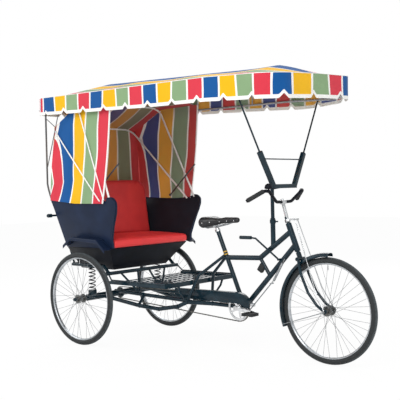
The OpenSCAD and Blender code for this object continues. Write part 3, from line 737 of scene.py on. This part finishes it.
class RICKSHAW_OT_hood(bpy.types.Operator):
    """Hood cloth over its bows, its hanging back, the side curtains and the sleeved bows"""
    bl_idname = "rickshaw.hood"
    bl_label = "Folding hood"

    def execute(self, context):
        # Top and back are one length of cloth from the front hem over both bows and down behind the seat
        run = [(380, 1877), (20, 1869), (-300, 1707), (-312, 1168)]
        lengths = [dist(a, b) for a, b in zip(run, run[1:])]
        total = sum(lengths)
        half = 410

        def along(d):
            for (a, b), length in zip(zip(run, run[1:]), lengths):
                if d <= length + 1e-6:
                    return a[0] + (b[0] - a[0]) * d / length, a[1] + (b[1] - a[1]) * d / length
                d -= length
            return run[-1]

        def wide_at(z):
            return 498 - (z - PANEL_TOP) * LEAN

        def top_spot(s, t):
            d, y = s * total, (2 * t - 1) * half
            x, z = along(d)
            for k, (begin, end) in enumerate(((0, lengths[0]), (lengths[0], lengths[0] + lengths[1]))):
                if begin < d < end:
                    z -= (6, 12)[k] * sin(pi * (d - begin) / (end - begin)) * (1 - (y / half) ** 2)
            fall = max(0.0, (d - lengths[0] - lengths[1]) / lengths[2])
            y *= wide_at(z) / half
            z -= 16 * abs(2 * t - 1) ** 10 * (1 - fall)
            x += fall * (5 * sin(y / 47) + 3 * sin(y / 19 + fall * 2)) * 0.9 + 6 * sin(pi * fall)
            return at(x - (4 if fall > 0 else 0), y, z)

        def top_cut(s, t):
            d = s * total
            wander = 4 * sin(d / 150 + 5 * t) + 2.5 * sin(d / 60)
            return ((1 - t) * 2 * half * 1.07 + 54 + wander) * MM, 0.1 + d * MM

        top, area = sheet("top", 110, 70, top_spot, top_cut, 0.0012, flip=True)
        # The inside of the hood takes the cloth's copy with painted shade
        deliver(top, "hood_cloth", "chassis", ["awning", "awning_shade"], 60, ["hood_cover"])

        # Side curtains hang in soft folds from the hood's edge to the panel's top
        curtains = []
        for side in (-1, 1):
            def spot(s, t, side=side):
                k = s * 2
                foot, head = along_edge(CURTAIN_FOOT, k), along_edge(CURTAIN_HEAD, k)
                x = foot[0] + (head[0] - foot[0]) * t + 14 * sin(pi * t) * s ** 4
                z = foot[1] + (head[1] - foot[1]) * t
                fold = (4.5 * sin(9.5 * s + 1.2 * sin(3 * t)) + 3 * sin(23 * s + 2.5 * t)
                        + 3 * sin(5 * t + 3 * s)) * sin(pi * min(1, t * 1.15 + 0.06)) ** 0.5
                y = 495 - (z - PANEL_TOP) * LEAN * (1 - 0.5 * s) + fold * 0.8
                return at(x + side * 22 * t * s, side * y, z)

            def cut(s, t, side=side):
                kink = 40 * exp(-((t - 0.62) / 0.16) ** 2) * max(0, 1 - s * 2.6)
                lean = 74 * (1 - t) ** 1.6 * (1 - s) ** 1.4
                wander = 7 * sin(6.5 * t + 4 * s) + 5 * sin(13 * t + 2 * s)
                width = 606 + 60 * t
                swing = between(SWING, t) * (1 - s) ** 0.6 if side < 0 else 55
                tuck = 90 * max(0.0, 1 - s / 0.25) * min(1.0, max(0.0, (t - 0.62) / 0.22))
                u = (1 - s) * width * 0.94 + 4 + swing - tuck
                u += (wander + lean * (side > 0) - kink) * min(1.0, (1 - s) * 6)
                return u * MM, 0.1 + t * 0.7

            o, area = sheet("curtain", 60, 64, spot, cut, 0.0011, flip=side > 0)
            curtains.append(o)
        both = join(curtains)
        deliver(both, "side_curtain_cloth", "chassis", ["awning", "awning_lit"], 60,
                ["side_curtains"])

        # Hems: a white tape down each front edge
        tapes = []
        for side in (-1, 1):
            line = []
            for i in range(25):
                t = i / 24
                x = 284 + (388 - 284) * t + 14 * sin(pi * t)
                z = 1082 + (1864 - 1082) * t
                line.append(at(x - 3 + side * 22 * t, side * (495 - (z - PANEL_TOP) * HEM_LEAN), z))
            tapes.append(tube(line, 0.0065, sides=2))
        deliver(join(tapes), "curtain_front_hems", "chassis", ["tape"], 60)

        # Bows in white sleeves: a rear and a front hoop from the panel tops
        bows = []
        for foot, (x, y, z) in (((262, 474, 1096), (-300, 417, 1675)), ((340, 477, 1108), (20, 422, 1838))):
            left, right = mirrored([at(*foot), at(x, y, z), at(x, y - 90, z + 24)])
            bows.append(tube(right + left[::-1], 0.0075, 0.09))
        deliver(join(bows), "hood_bow_sleeves", "chassis", ["tape"], 60, ["hood_bows"])

        # Seams where each bow is sewn to the curtain, standing just outside the cloth
        seams = []
        for side in (-1, 1):
            for foot, corner in (((255, 1100), (-292, 1662)), ((300, 1108), (-20, 1850))):
                line = []
                for i in range(17):
                    s = i / 16
                    x, z = foot[0] + (corner[0] - foot[0]) * s, foot[1] + (corner[1] - foot[1]) * s
                    share = max(0.0, (x + 310) / 660)
                    line.append(at(x, side * (502 - (z - PANEL_TOP) * LEAN * (1 - 0.5 * share)), z))
                seams.append(tube(line, 0.005, sides=2))
        deliver(join(seams), "curtain_seams", "chassis", ["tape"], 60)

        # Folding props inside the hood, one each side
        props = []
        for side in (-1, 1):
            props.append(tube([at(105, side * 436, 1128), at(395, side * 428, 1376)], 0.006))
            knob = start(bpy.ops.mesh.primitive_uv_sphere_add, segments=16, ring_count=10, radius=0.012)
            change(knob, "CAST", factor=0.2)
            props.append(place(knob, at(105, side * 436, 1128)))
        deliver(join(props), "hood_props", "chassis", ["weathered"], 40)
        return {"FINISHED"}


# ---------------------------------------------------------------- carriage
class RICKSHAW_OT_carriage(bpy.types.Operator):
    """Side panels with rolled edges, back panel, seat box and rear mudguards"""
    bl_idname = "rickshaw.carriage"
    bl_label = "Carriage panels"

    def execute(self, context):
        panels = eased_copy("side_panels", 0.0055, 4)
        for f in panels.data.polygons:
            f.material_index = 1 if f.normal.y * f.center.y < -0.2 * abs(f.center.y) else 0
        deliver(panels, "side_panels_rolled", "chassis", ["panel", "lining"], 30,
                ["side_panels"])
        back = eased_copy("back_panel", 0.003)
        for f in back.data.polygons:
            f.material_index = 1 if f.normal.x > 0.3 else 0
        deliver(back, "back_panel_rolled", "chassis", ["panel", "lining"], 30, ["back_panel"])
        box = eased_copy("seat_base", 0.004)
        deliver(box, "seat_box_rolled", "chassis", ["japan"], 30, ["seat_base"])
        guards = eased_copy("rear_mudguards", 0.0018, 2)
        deliver(guards, "rear_mudguards_rolled", "chassis", ["panel"], 30, ["rear_mudguards"])
        case = eased_copy("chain_case", 0.001, 2)
        deliver(case, "chain_case_rolled", "chassis", ["enamel"], 30, ["chain_case"])

        # Beading: a half-round strip round each panel's outer rim
        rims = []
        for side in (-1, 1):
            line = []
            outline = [(-330, 1112), (-60, 1100), (100, 1096), (270, 1104), (330, 1125), (372, 1124),
                       (402, 1096), (404, 1052), (352, 905), (322, 806), (326, 750)]
            for x, z in outline:
                y = 440 + (z - 745) * tan(radians(7.4))
                line.append(at(x, side * y, z))
            rims.append(tube(line, 0.0035, 0.03, sides=2))
        deliver(join(rims), "panel_beading", "chassis", ["panel"], 60)
        return {"FINISHED"}


def puff(o, cap, flat_from=None):
    """Blows the pad up under cloth simulation, holding each point within cap of where it began."""
    change(o, "REMESH", mode="VOXEL", voxel_size=0.006)
    change(o, "SMOOTH", factor=0.5, iterations=4)
    before = [v.co.copy() for v in o.data.vertices]
    pick(o)
    bpy.ops.object.modifier_add(type="CLOTH")
    cloth = o.modifiers[-1]
    cloth.settings.use_pressure = True
    cloth.settings.uniform_pressure_force = 4.0
    cloth.settings.effector_weights.gravity = 0.0
    cloth.settings.quality = 5
    cloth.point_cache.frame_end = 20
    scene = bpy.context.scene
    for step in range(1, 21):
        scene.frame_set(step)
    bpy.ops.object.modifier_apply(modifier=cloth.name)
    scene.frame_set(1)
    for v, home in zip(o.data.vertices, before):
        off = v.co - home
        if off.length > cap:
            v.co = home + off.normalized() * cap
        if flat_from is not None and v.co.z < flat_from:
            v.co.z = flat_from
    change(o, "SMOOTH", factor=0.5, iterations=3)
    return o


class RICKSHAW_OT_cushions(bpy.types.Operator):
    """Stuffed bench and backrest, each in leathercloth"""
    bl_idname = "rickshaw.cushions"
    bl_label = "Cushions"

    def execute(self, context):
        low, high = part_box("seat_cushion")
        middle, size = (low + high) / 2, high - low
        seat = block(size - Vector((0.012, 0.016, 0.004)), middle)
        change(seat, "BEVEL", width=0.016, segments=4)
        puff(seat, 0.007, low.z + 0.0015)
        # The stuffing crowns a little towards the middle of the bench
        for v in seat.data.vertices:
            if v.co.z > middle.z:
                along = max(0.0, 1 - ((v.co.x - middle.x + 0.07) / 0.26) ** 2)
                v.co.z += 0.024 * max(0.0, 1 - abs(v.co.y / 0.42) ** 4) * along
        deliver(seat, "bench_cushion", "chassis", ["seat"], 60, ["seat_cushion"])

        back = block((0.058, 0.840, 0.480))
        # The two upper corners are rounded across the width
        bpy.ops.object.mode_set(mode="EDIT")
        bpy.ops.mesh.select_mode(type="EDGE")
        bpy.ops.mesh.select_all(action="DESELECT")
        close()
        for e in back.data.edges:
            a, b = (back.data.vertices[i].co for i in e.vertices)
            e.select = a.z > 0.1 and b.z > 0.1 and abs(a.x - b.x) > 0.01
        bpy.ops.object.mode_set(mode="EDIT")
        bpy.ops.mesh.bevel(offset=0.105, segments=12, affect="EDGES")
        close()
        change(back, "BEVEL", width=0.02, segments=4, limit_method="ANGLE", angle_limit=radians(60))
        puff(back, 0.010)
        lean = radians(7)
        mid = at(-104, 0, 806) + Vector((-0.035 * cos(lean) - 0.232 * sin(lean), 0,
                                         0.232 * cos(lean) - 0.035 * sin(lean)))
        place(back, mid, (0, -lean, 0))
        deliver(back, "back_cushion_pad", "chassis", ["seat_back"], 60, ["back_cushion"])
        return {"FINISHED"}


# ---------------------------------------------------------------- rider's seat and steering
def coil(centre, radius, wire, turns, height, steps=18):
    """A wire spring standing on its centre."""
    line = []
    for i in range(turns * steps + 1):
        a = 2 * pi * i / steps
        line.append(centre + Vector((radius * cos(a), radius * sin(a), height * i / (turns * steps))))
    return tube(line, wire, sides=2)


class RICKSHAW_OT_saddle(bpy.types.Operator):
    """Sprung hide saddle with its rivets and coils"""
    bl_idname = "rickshaw.saddle"
    bl_label = "Saddle"

    def execute(self, context):
        top = loose_copy("saddle")
        change(top, "REMESH", mode="VOXEL", voxel_size=0.005)
        change(top, "SMOOTH", factor=0.6, iterations=14)
        # The underside is cut off and closed, so that the hide hangs as a skirt over the rails
        pick(top)
        open_all()
        bpy.ops.mesh.bisect(plane_co=at(1000, 0, 904), plane_no=(-0.14, 0, 1),
                            clear_inner=True, use_fill=True)
        close()
        dip = at(985, 0, 0).x
        for v in top.data.vertices:
            if v.co.z > 0.945:
                along = max(0.0, 1 - ((v.co.x - dip) / 0.07) ** 2)
                v.co.z -= 0.008 * max(0.0, 1 - (v.co.y / 0.05) ** 2) * along
        deliver(top, "saddle_hide", "chassis", ["hide"], 50, ["saddle"])

        springs = []
        for side in (-1, 1):
            springs.append(coil(at(908, side * 46, 884), 0.014, 0.0022, 4, 0.042))
            springs.append(tube([at(908, side * 46, 886), at(962, side * 22, 893), at(1060, side * 12, 912),
                                 at(1140, 0, 934)], 0.0035, 0.03))
        deliver(join(springs), "saddle_springs", "chassis", ["zinc"], 40)

        # Rivets stand where a line across the saddle meets the hide
        rivets = []
        for side in (-1, 1):
            for x, z in ((872, 922), (905, 926), (950, 930), (1010, 934), (1075, 938), (1140, 941)):
                hit, spot, normal, face = top.ray_cast(at(x, side * 200, z), Vector((0, -side, 0)))
                if hit:
                    dot = start(bpy.ops.mesh.primitive_uv_sphere_add, segments=14, ring_count=8,
                                radius=0.0048)
                    dot.scale = (1, 0.5, 1)
                    rivets.append(place(dot, spot))
        deliver(join(rivets), "saddle_rivets", "chassis", ["chrome"], 60)
        return {"FINISHED"}


class RICKSHAW_OT_steering(bpy.types.Operator):
    """Handlebar, ribbed grips, bell and the domed front mudguard"""
    bl_idname = "rickshaw.steering"
    bl_label = "Steering parts"

    def execute(self, context):
        bends = [at(1558, 0, 1073), at(1566, -88, 1076), at(1584, -196, 1150), at(1566, -226, 1153),
                 at(1470, -299, 1086)]
        right, left = mirrored(bends)
        bar = tube(right[::-1] + left[1:], 0.011, 0.045)
        stem = tube([at(1597, 0, 933), at(1551, 0, 1094)], 0.0115)
        clamp = start(bpy.ops.mesh.primitive_cylinder_add, vertices=32, radius=0.017, depth=0.044)
        change(clamp, "BEVEL", width=0.003, segments=3)
        place(clamp, at(1558, 0, 1073), (pi / 2, 0, 0))
        nut = start(bpy.ops.mesh.primitive_cylinder_add, vertices=6, radius=0.020, depth=0.020)
        change(nut, "BEVEL", width=0.0015, segments=2)
        place(nut, at(1594, 0, 944), (0, -radians(21), 0))
        deliver(bar, "handlebar_tube", "steering", ["japan"], 40, ["handlebar"])
        deliver(join([stem, clamp, nut]), "handlebar_stem", "steering", ["chrome"], 35)

        # Grip: a ribbed sleeve turned from a profile, one on each side
        grips = []
        for side, line in ((-1, right), (1, left)):
            first, last = line[3], line[4]
            way = (last - first).normalized()
            length = 0.122
            rings = [(0.0145 + (0.0012 if i % 2 else 0), -length / 2 + length * i / 24) for i in range(25)]
            flange = [(0.0165, length / 2), (0.012, length / 2 + 0.004)]
            grip = spun([(0.0115, -length / 2)] + rings + flange, 28)
            turn = Vector((0, 0, 1)).rotation_difference(way).to_euler()
            grips.append(place(grip, first + way * (length / 2 + 0.004), turn))
        deliver(join(grips), "ribbed_grips", "steering", ["rubber"], 30, ["grips"])

        bell = spun([(0.0, 0.026), (0.010, 0.0245), (0.020, 0.017), (0.0255, 0.004), (0.0262, -0.004),
                     (0.024, -0.006), (0.010, -0.009), (0.0, -0.009)], 32)
        place(bell, at(1572, -186, 1176), (radians(14), radians(8), 0))
        foot = tube([at(1572, -186, 1172), at(1578, -182, 1146)], 0.006)
        lever = tube([at(1580, -186, 1170), at(1600, -180, 1168), at(1606, -160, 1166)], 0.0028, 0.01)
        deliver(join([bell, foot, lever]), "bell_dome", "steering", ["japan"], 50, ["bell"])

        # Mudguard: a domed section swept round the wheel, closed to a thin sheet, with its two stays
        guard_r, half = 0.383, 0.031
        hub = at(1905, 0, 355)
        falls = ((0, 0), (0.45, 1.5), (0.8, 5.5), (0.98, 14), (1, 26))
        right_half = [(-w * half, guard_r - fall * MM) for w, fall in falls[:0:-1]]
        section = right_half + [(w * half, guard_r - fall * MM) for w, fall in falls]
        steps = 46
        verts = []
        for k in range(steps + 1):
            a = radians(87 + 114 * k / steps)
            for y, r in section:
                verts.append(hub + Vector((r * cos(a), y, r * sin(a))))
        wide = len(section)
        faces = [(k * wide + i, (k + 1) * wide + i, (k + 1) * wide + i + 1, k * wide + i + 1)
                 for k in range(steps) for i in range(wide - 1)]
        mesh = bpy.data.meshes.new("guard")
        mesh.from_pydata(verts, [], faces)
        guard = bpy.data.objects.new("guard", mesh)
        context.scene.collection.objects.link(guard)
        change(guard, "SOLIDIFY", thickness=0.0012, offset=0)
        pick(guard)
        open_all()
        bpy.ops.mesh.normals_make_consistent(inside=False)
        close()
        deliver(guard, "front_mudguard_sheet", "steering", ["enamel"], 40, ["front_mudguard"])
        stays = [tube(line, 0.0025) for line in mirrored([at(1552, -30, 238), at(1899, -69, 351)])]
        deliver(join(stays), "mudguard_stays", "steering", ["zinc"], 40)
        return {"FINISHED"}


def spun(profile, sides):
    """A solid turned about Z from (radius, height) pairs, by spinning its outline round the axis."""
    mesh = bpy.data.meshes.new("profile")
    mesh.from_pydata([(r, 0, z) for r, z in profile], [(i, i + 1) for i in range(len(profile) - 1)], [])
    o = bpy.data.objects.new("profile", mesh)
    bpy.context.scene.collection.objects.link(o)
    pick(o)
    bpy.ops.object.mode_set(mode="EDIT")
    bpy.ops.mesh.select_mode(type="VERT")
    bpy.ops.mesh.select_all(action="SELECT")
    bpy.ops.mesh.spin(steps=sides, angle=2 * pi, center=(0, 0, 0), axis=(0, 0, 1))
    bpy.ops.mesh.select_all(action="SELECT")
    bpy.ops.mesh.remove_doubles(threshold=0.00005)
    bpy.ops.mesh.select_all(action="DESELECT")
    bpy.ops.mesh.select_non_manifold()
    bpy.ops.mesh.fill_holes(sides=0)
    bpy.ops.mesh.select_all(action="SELECT")
    bpy.ops.mesh.normals_make_consistent(inside=False)
    close()
    return o


# ---------------------------------------------------------------- wheels and drive
class RICKSHAW_OT_wheels(bpy.types.Operator):
    """Tyres with a blocked tread and a moulded bead, one for each wheel"""
    bl_idname = "rickshaw.wheels"
    bl_label = "Tyres"

    def execute(self, context):
        paint = context.scene.rickshaw_finish
        tyre = start(bpy.ops.mesh.primitive_torus_add, major_segments=168, minor_segments=20,
                     major_radius=WHEEL_R - TYRE_R - 0.0012, minor_radius=TYRE_R - 0.0012)
        # Tread: each face of the crown is inset and raised as a block; the bead is a raised band inside
        crown = WHEEL_R - 0.0085
        edit(tyre, "FACE", lambda f: hypot(f.center.x, f.center.y) > crown)
        bpy.ops.mesh.inset(thickness=0.0016, depth=0.0014, use_individual=True)
        close()
        ridge = WHEEL_R - TYRE_R - 0.004
        edit(tyre, "FACE", lambda f: abs(hypot(f.center.x, f.center.y) - ridge) < 0.003)
        bpy.ops.mesh.inset(thickness=0.0012, depth=0.0008)
        close()
        place(tyre, (0, 0, 0), (pi / 2, 0, 0))
        # Hub: a dark barrel between two flanges, with a locknut at each end, turned once and copied
        half = [(0.0, -0.046), (0.009, -0.046), (0.009, -0.036), (0.017, -0.035), (0.018, -0.030),
                (0.034, -0.029), (0.034, -0.025), (0.020, -0.024), (0.017, -0.012)]
        barrel = spun(half + [(r, -z) for r, z in half[::-1]], 32)
        for side, (body, (x, y)) in WHEELS.items():
            copy = twin(tyre, side)
            place(copy, at(x, y, 355))
            MATS["tyre_" + side] = tyre_rubber("vulcanised_rubber_" + side, x, y, list(paint.rubber))
            deliver(copy, side + "_tyre_tread", body, ["tyre_" + side], 40, [side + "_tyre"])
            hub = place(twin(barrel, "hub"), at(x, y, 355), (pi / 2, 0, 0))
            deliver(hub, side + "_hub_shell", body, ["oiled"], 40)
            valve = tube([at(x + 0.3, y, 355 + 300), at(x + 0.3, y, 355 + 268)], 0.0035)
            deliver(valve, side + "_valve", body, ["chrome"], 40)
        discard(tyre)
        discard(barrel)
        return {"FINISHED"}


class RICKSHAW_OT_drive(bpy.types.Operator):
    """Roller chain round both sprockets, sprung suspension coils and block pedals"""
    bl_idname = "rickshaw.drive"
    bl_label = "Chain and springs"

    def execute(self, context):
        # One pair of links, two outer plates and two inner ones, repeated along the loop
        pitch = 12.7 * MM
        plates = []
        for k, gap in ((0, 0.0032), (1, 0.0021)):
            for side in (-1, 1):
                plates.append(block((pitch * 1.25, 0.0011, 0.0072), (pitch * (k + 0.5), side * gap, 0)))
            pin = start(bpy.ops.mesh.primitive_cylinder_add, vertices=8, radius=0.0028, depth=0.0076)
            plates.append(place(pin, (pitch * k, 0, 0), (pi / 2, 0, 0)))
        link = join(plates)
        ring, sprocket = 96.2, 45.2
        front, rear = at(1205, -66, 328), at(0, -66, 355)
        gap = (front - rear).length
        tilt = atan2(front.z - rear.z, front.x - rear.x)
        lean = asin((ring - sprocket) * MM / gap)
        line = []
        for centre, radius, first, last in (
                (front, ring, pi / 2 + lean + tilt, -pi / 2 - lean + tilt),
                (rear, sprocket, -pi / 2 - lean + tilt, -3 * pi / 2 + lean + tilt)):
            steps = 26
            for i in range(steps + 1):
                a = first + (last - first) * i / steps
                line.append(centre + Vector((cos(a), 0, sin(a))) * radius * MM)
        closed = line + [line[0]]
        length = sum((b - a).length for a, b in zip(closed, closed[1:]))
        count = round(length / (2 * pitch))
        way = path(line, cyclic=True)
        way.data.twist_mode = "Z_UP"
        step = length / count
        change(link, "ARRAY", count=count, use_relative_offset=False, use_constant_offset=True,
               constant_offset_displace=(step, 0, 0))
        change(link, "CURVE", object=way, deform_axis="POS_X")
        bpy.data.objects.remove(way)
        deliver(link, "roller_chain", "chassis", ["oiled"], 30, ["chain"])

        springs = []
        for side in (-1, 1):
            centre = at(0, side * 367, 411)
            springs.append(coil(centre, 0.024, 0.004, 6, 0.172, 24))
        deliver(join(springs), "suspension_coils", "chassis", ["japan"], 40,
                ["suspension_springs"])

        pedals = eased_copy("pedals", 0.0012, 2)
        deliver(pedals, "block_pedals", "cranks", ["rubber"], 30, ["pedals"])
        return {"FINISHED"}


class RICKSHAW_OT_fittings(bpy.types.Operator):
    """Bolts, plain bands and the lock block on the frame"""
    bl_idname = "rickshaw.fittings"
    bl_label = "Small fittings"

    def execute(self, context):
        # Moulded lock block behind the strut
        lock = change(block((0.045, 0.030, 0.060)), "BEVEL", width=0.006, segments=3)
        place(lock, at(1366, 0, 612), (0, radians(34), 0))
        deliver(lock, "lock_block", "chassis", ["rubber"], 35)

        # Plain coloured bands on the seat tube, where such a frame carries its trim
        axis = (at(977, 0, 864) - at(1205, 0, 328)).normalized()
        bands = []
        for d in (0.395, 0.415):
            centre = at(1205, 0, 328) + axis * d
            bands.append(tube([centre, centre + axis * 0.008], 0.0166))
        deliver(join(bands), "seat_tube_bands", "chassis", ["band"], 40)

        # Bolts on the rails under the seat box, one modelled and copied
        bolt = start(bpy.ops.mesh.primitive_cylinder_add, vertices=6, radius=0.009, depth=0.007)
        change(bolt, "BEVEL", width=0.001, segments=2)
        spots = [(x, y, 607) for x in (-180, 60) for y in (-367, 367)]
        copies = [place(twin(bolt, "bolt"), at(*s)) for s in spots]
        discard(bolt)
        deliver(join(copies), "rail_bolts", "chassis", ["zinc"], 30)
        return {"FINISHED"}


# ---------------------------------------------------------------- carried-over nodes, stage
NODE_FINISH = {
    "enamel": ("front_frame", "lower_frame", "centre_beams", "seat_stays", "rear_axle", "body_frame",
               "foot_rack", "push_handle", "canopy_mast", "canopy_fork", "hand_brake", "steering_fork"),
    "alloy": ("front_rim", "right_rim", "left_rim"),
    "chrome": ("truss_rods", "crank_set", "seat_post"),
    "spoke": ("front_hub_spokes", "right_hub_spokes", "left_hub_spokes"),
    "zinc": ("front_axle", "brake_rods"),
}


class RICKSHAW_OT_finishes(bpy.types.Operator):
    """Mixes the finishes and gives the frame's own nodes theirs"""
    bl_idname = "rickshaw.finishes"
    bl_label = "Finishes"

    def execute(self, context):
        mix_finishes()
        # Plain yellow lacquer bands
        MATS["band"] = hard("lacquer_band_yellow", lin("#C8A034"), lin("#B98B2C"), 20, 3, 0.1, (0.3, 0.4))
        for finish, nodes in NODE_FINISH.items():
            for name in nodes:
                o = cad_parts[name]
                for slot in o.material_slots:
                    slot.material = MATS[finish]
        return {"FINISHED"}


class RICKSHAW_OT_stage(bpy.types.Operator):
    """Pale floor, soft lamps, white surroundings and the camera"""
    bl_idname = "rickshaw.stage"
    bl_label = "Stage"

    def execute(self, context):
        scene = context.scene
        scene.view_settings.view_transform = "Standard"
        floor = start(bpy.ops.mesh.primitive_plane_add, size=40, location=(0, 0, 0))
        floor.name = "floor"
        mat, t = blank("floor_paper")
        seen = add(t, "LightPath")
        matt = add(t, "BsdfDiffuse", {"Color": lin("#F4F4F4")})
        glow = add(t, "Emission", {"Color": lin("#FFFFFF"), "Strength": 1.0})
        share = add(t, "Math", {0: seen, 1: 0.93}, operation="MULTIPLY")
        both = add(t, "MixShader",
                   {0: share, 1: matt, 2: glow})
        add(t, "OutputMaterial", {"Surface": both})
        floor.data.materials.append(mat)

        world = bpy.data.worlds.new("studio")
        scene.world = world
        world.use_nodes = True
        t = world.node_tree
        t.nodes.clear()
        seen = add(t, "LightPath")
        sky = add(t, "Background", {"Color": lin("#FFFFFF"), "Strength": 0.8})
        white = add(t, "Background", {"Color": lin("#FFFFFF"), "Strength": 1.0})
        both = add(t, "MixShader", {0: seen,
                                              1: sky, 2: white})
        add(t, "OutputWorld", {"Surface": both})

        lamps = (("key", (3.2, -4.6, 4.6), 3.0, 190), ("fill", (-4.2, -3.2, 3.4), 3.5, 80),
                 ("back", (-2.5, 4.5, 4.0), 3.0, 90))
        for name, spot, size, power in lamps:
            light = bpy.data.lights.new(name, "AREA")
            light.size = size
            light.energy = power
            lamp = bpy.data.objects.new(name, light)
            scene.collection.objects.link(lamp)
            lamp.location = spot
            lamp.rotation_euler = (Vector((0, 0, 1.0)) - Vector(spot)).to_track_quat("-Z", "Y").to_euler()

        lens = bpy.data.cameras.new("camera")
        lens.sensor_width = 36
        lens.lens = 71.57
        camera = bpy.data.objects.new("camera", lens)
        scene.collection.objects.link(camera)
        target = Vector((AXLE_X + 0.810, 0, 1.092))
        camera.location = Vector((AXLE_X + 4.676, -4.494, 1.195))
        aim = (target - camera.location).to_track_quat("-Z", "Y").to_matrix()
        camera.rotation_euler = (aim @ Matrix.Rotation(radians(-1.38), 3, "Z")).to_euler()
        scene.camera = camera
        return {"FINISHED"}


OPERATORS = (
    RICKSHAW_OT_stage, RICKSHAW_OT_finishes, RICKSHAW_OT_canopy, RICKSHAW_OT_canopy_frame, RICKSHAW_OT_hood,
    RICKSHAW_OT_carriage, RICKSHAW_OT_cushions, RICKSHAW_OT_saddle, RICKSHAW_OT_steering,
    RICKSHAW_OT_wheels, RICKSHAW_OT_drive, RICKSHAW_OT_fittings,
)


class RICKSHAW_PT_parts(bpy.types.Panel):
    """Lists the steps that build the rickshaw"""
    bl_idname = "RICKSHAW_PT_parts"
    bl_label = "Cycle rickshaw"
    bl_space_type = "VIEW_3D"
    bl_region_type = "UI"
    bl_category = "Rickshaw"

    def draw(self, context):
        for group in (context.scene.rickshaw_cloth, context.scene.rickshaw_finish):
            for name in group.bl_rna.properties.keys():
                if name not in ("rna_type", "name"):
                    self.layout.prop(group, name)
        for step in OPERATORS:
            self.layout.operator(step.bl_idname)


CLASSES = (RickshawCloth, RickshawFinish) + OPERATORS + (RICKSHAW_PT_parts,)


def register():
    for c in CLASSES:
        bpy.utils.register_class(c)
    bpy.types.Scene.rickshaw_cloth = bpy.props.PointerProperty(type=RickshawCloth)
    bpy.types.Scene.rickshaw_finish = bpy.props.PointerProperty(type=RickshawFinish)


def unregister():
    del bpy.types.Scene.rickshaw_cloth
    del bpy.types.Scene.rickshaw_finish
    for c in reversed(CLASSES):
        bpy.utils.unregister_class(c)


def main():
    register()
    for step in OPERATORS:
        group, name = step.bl_idname.split(".")
        getattr(getattr(bpy.ops, group), name)()


if __name__ == "__main__":
    main()
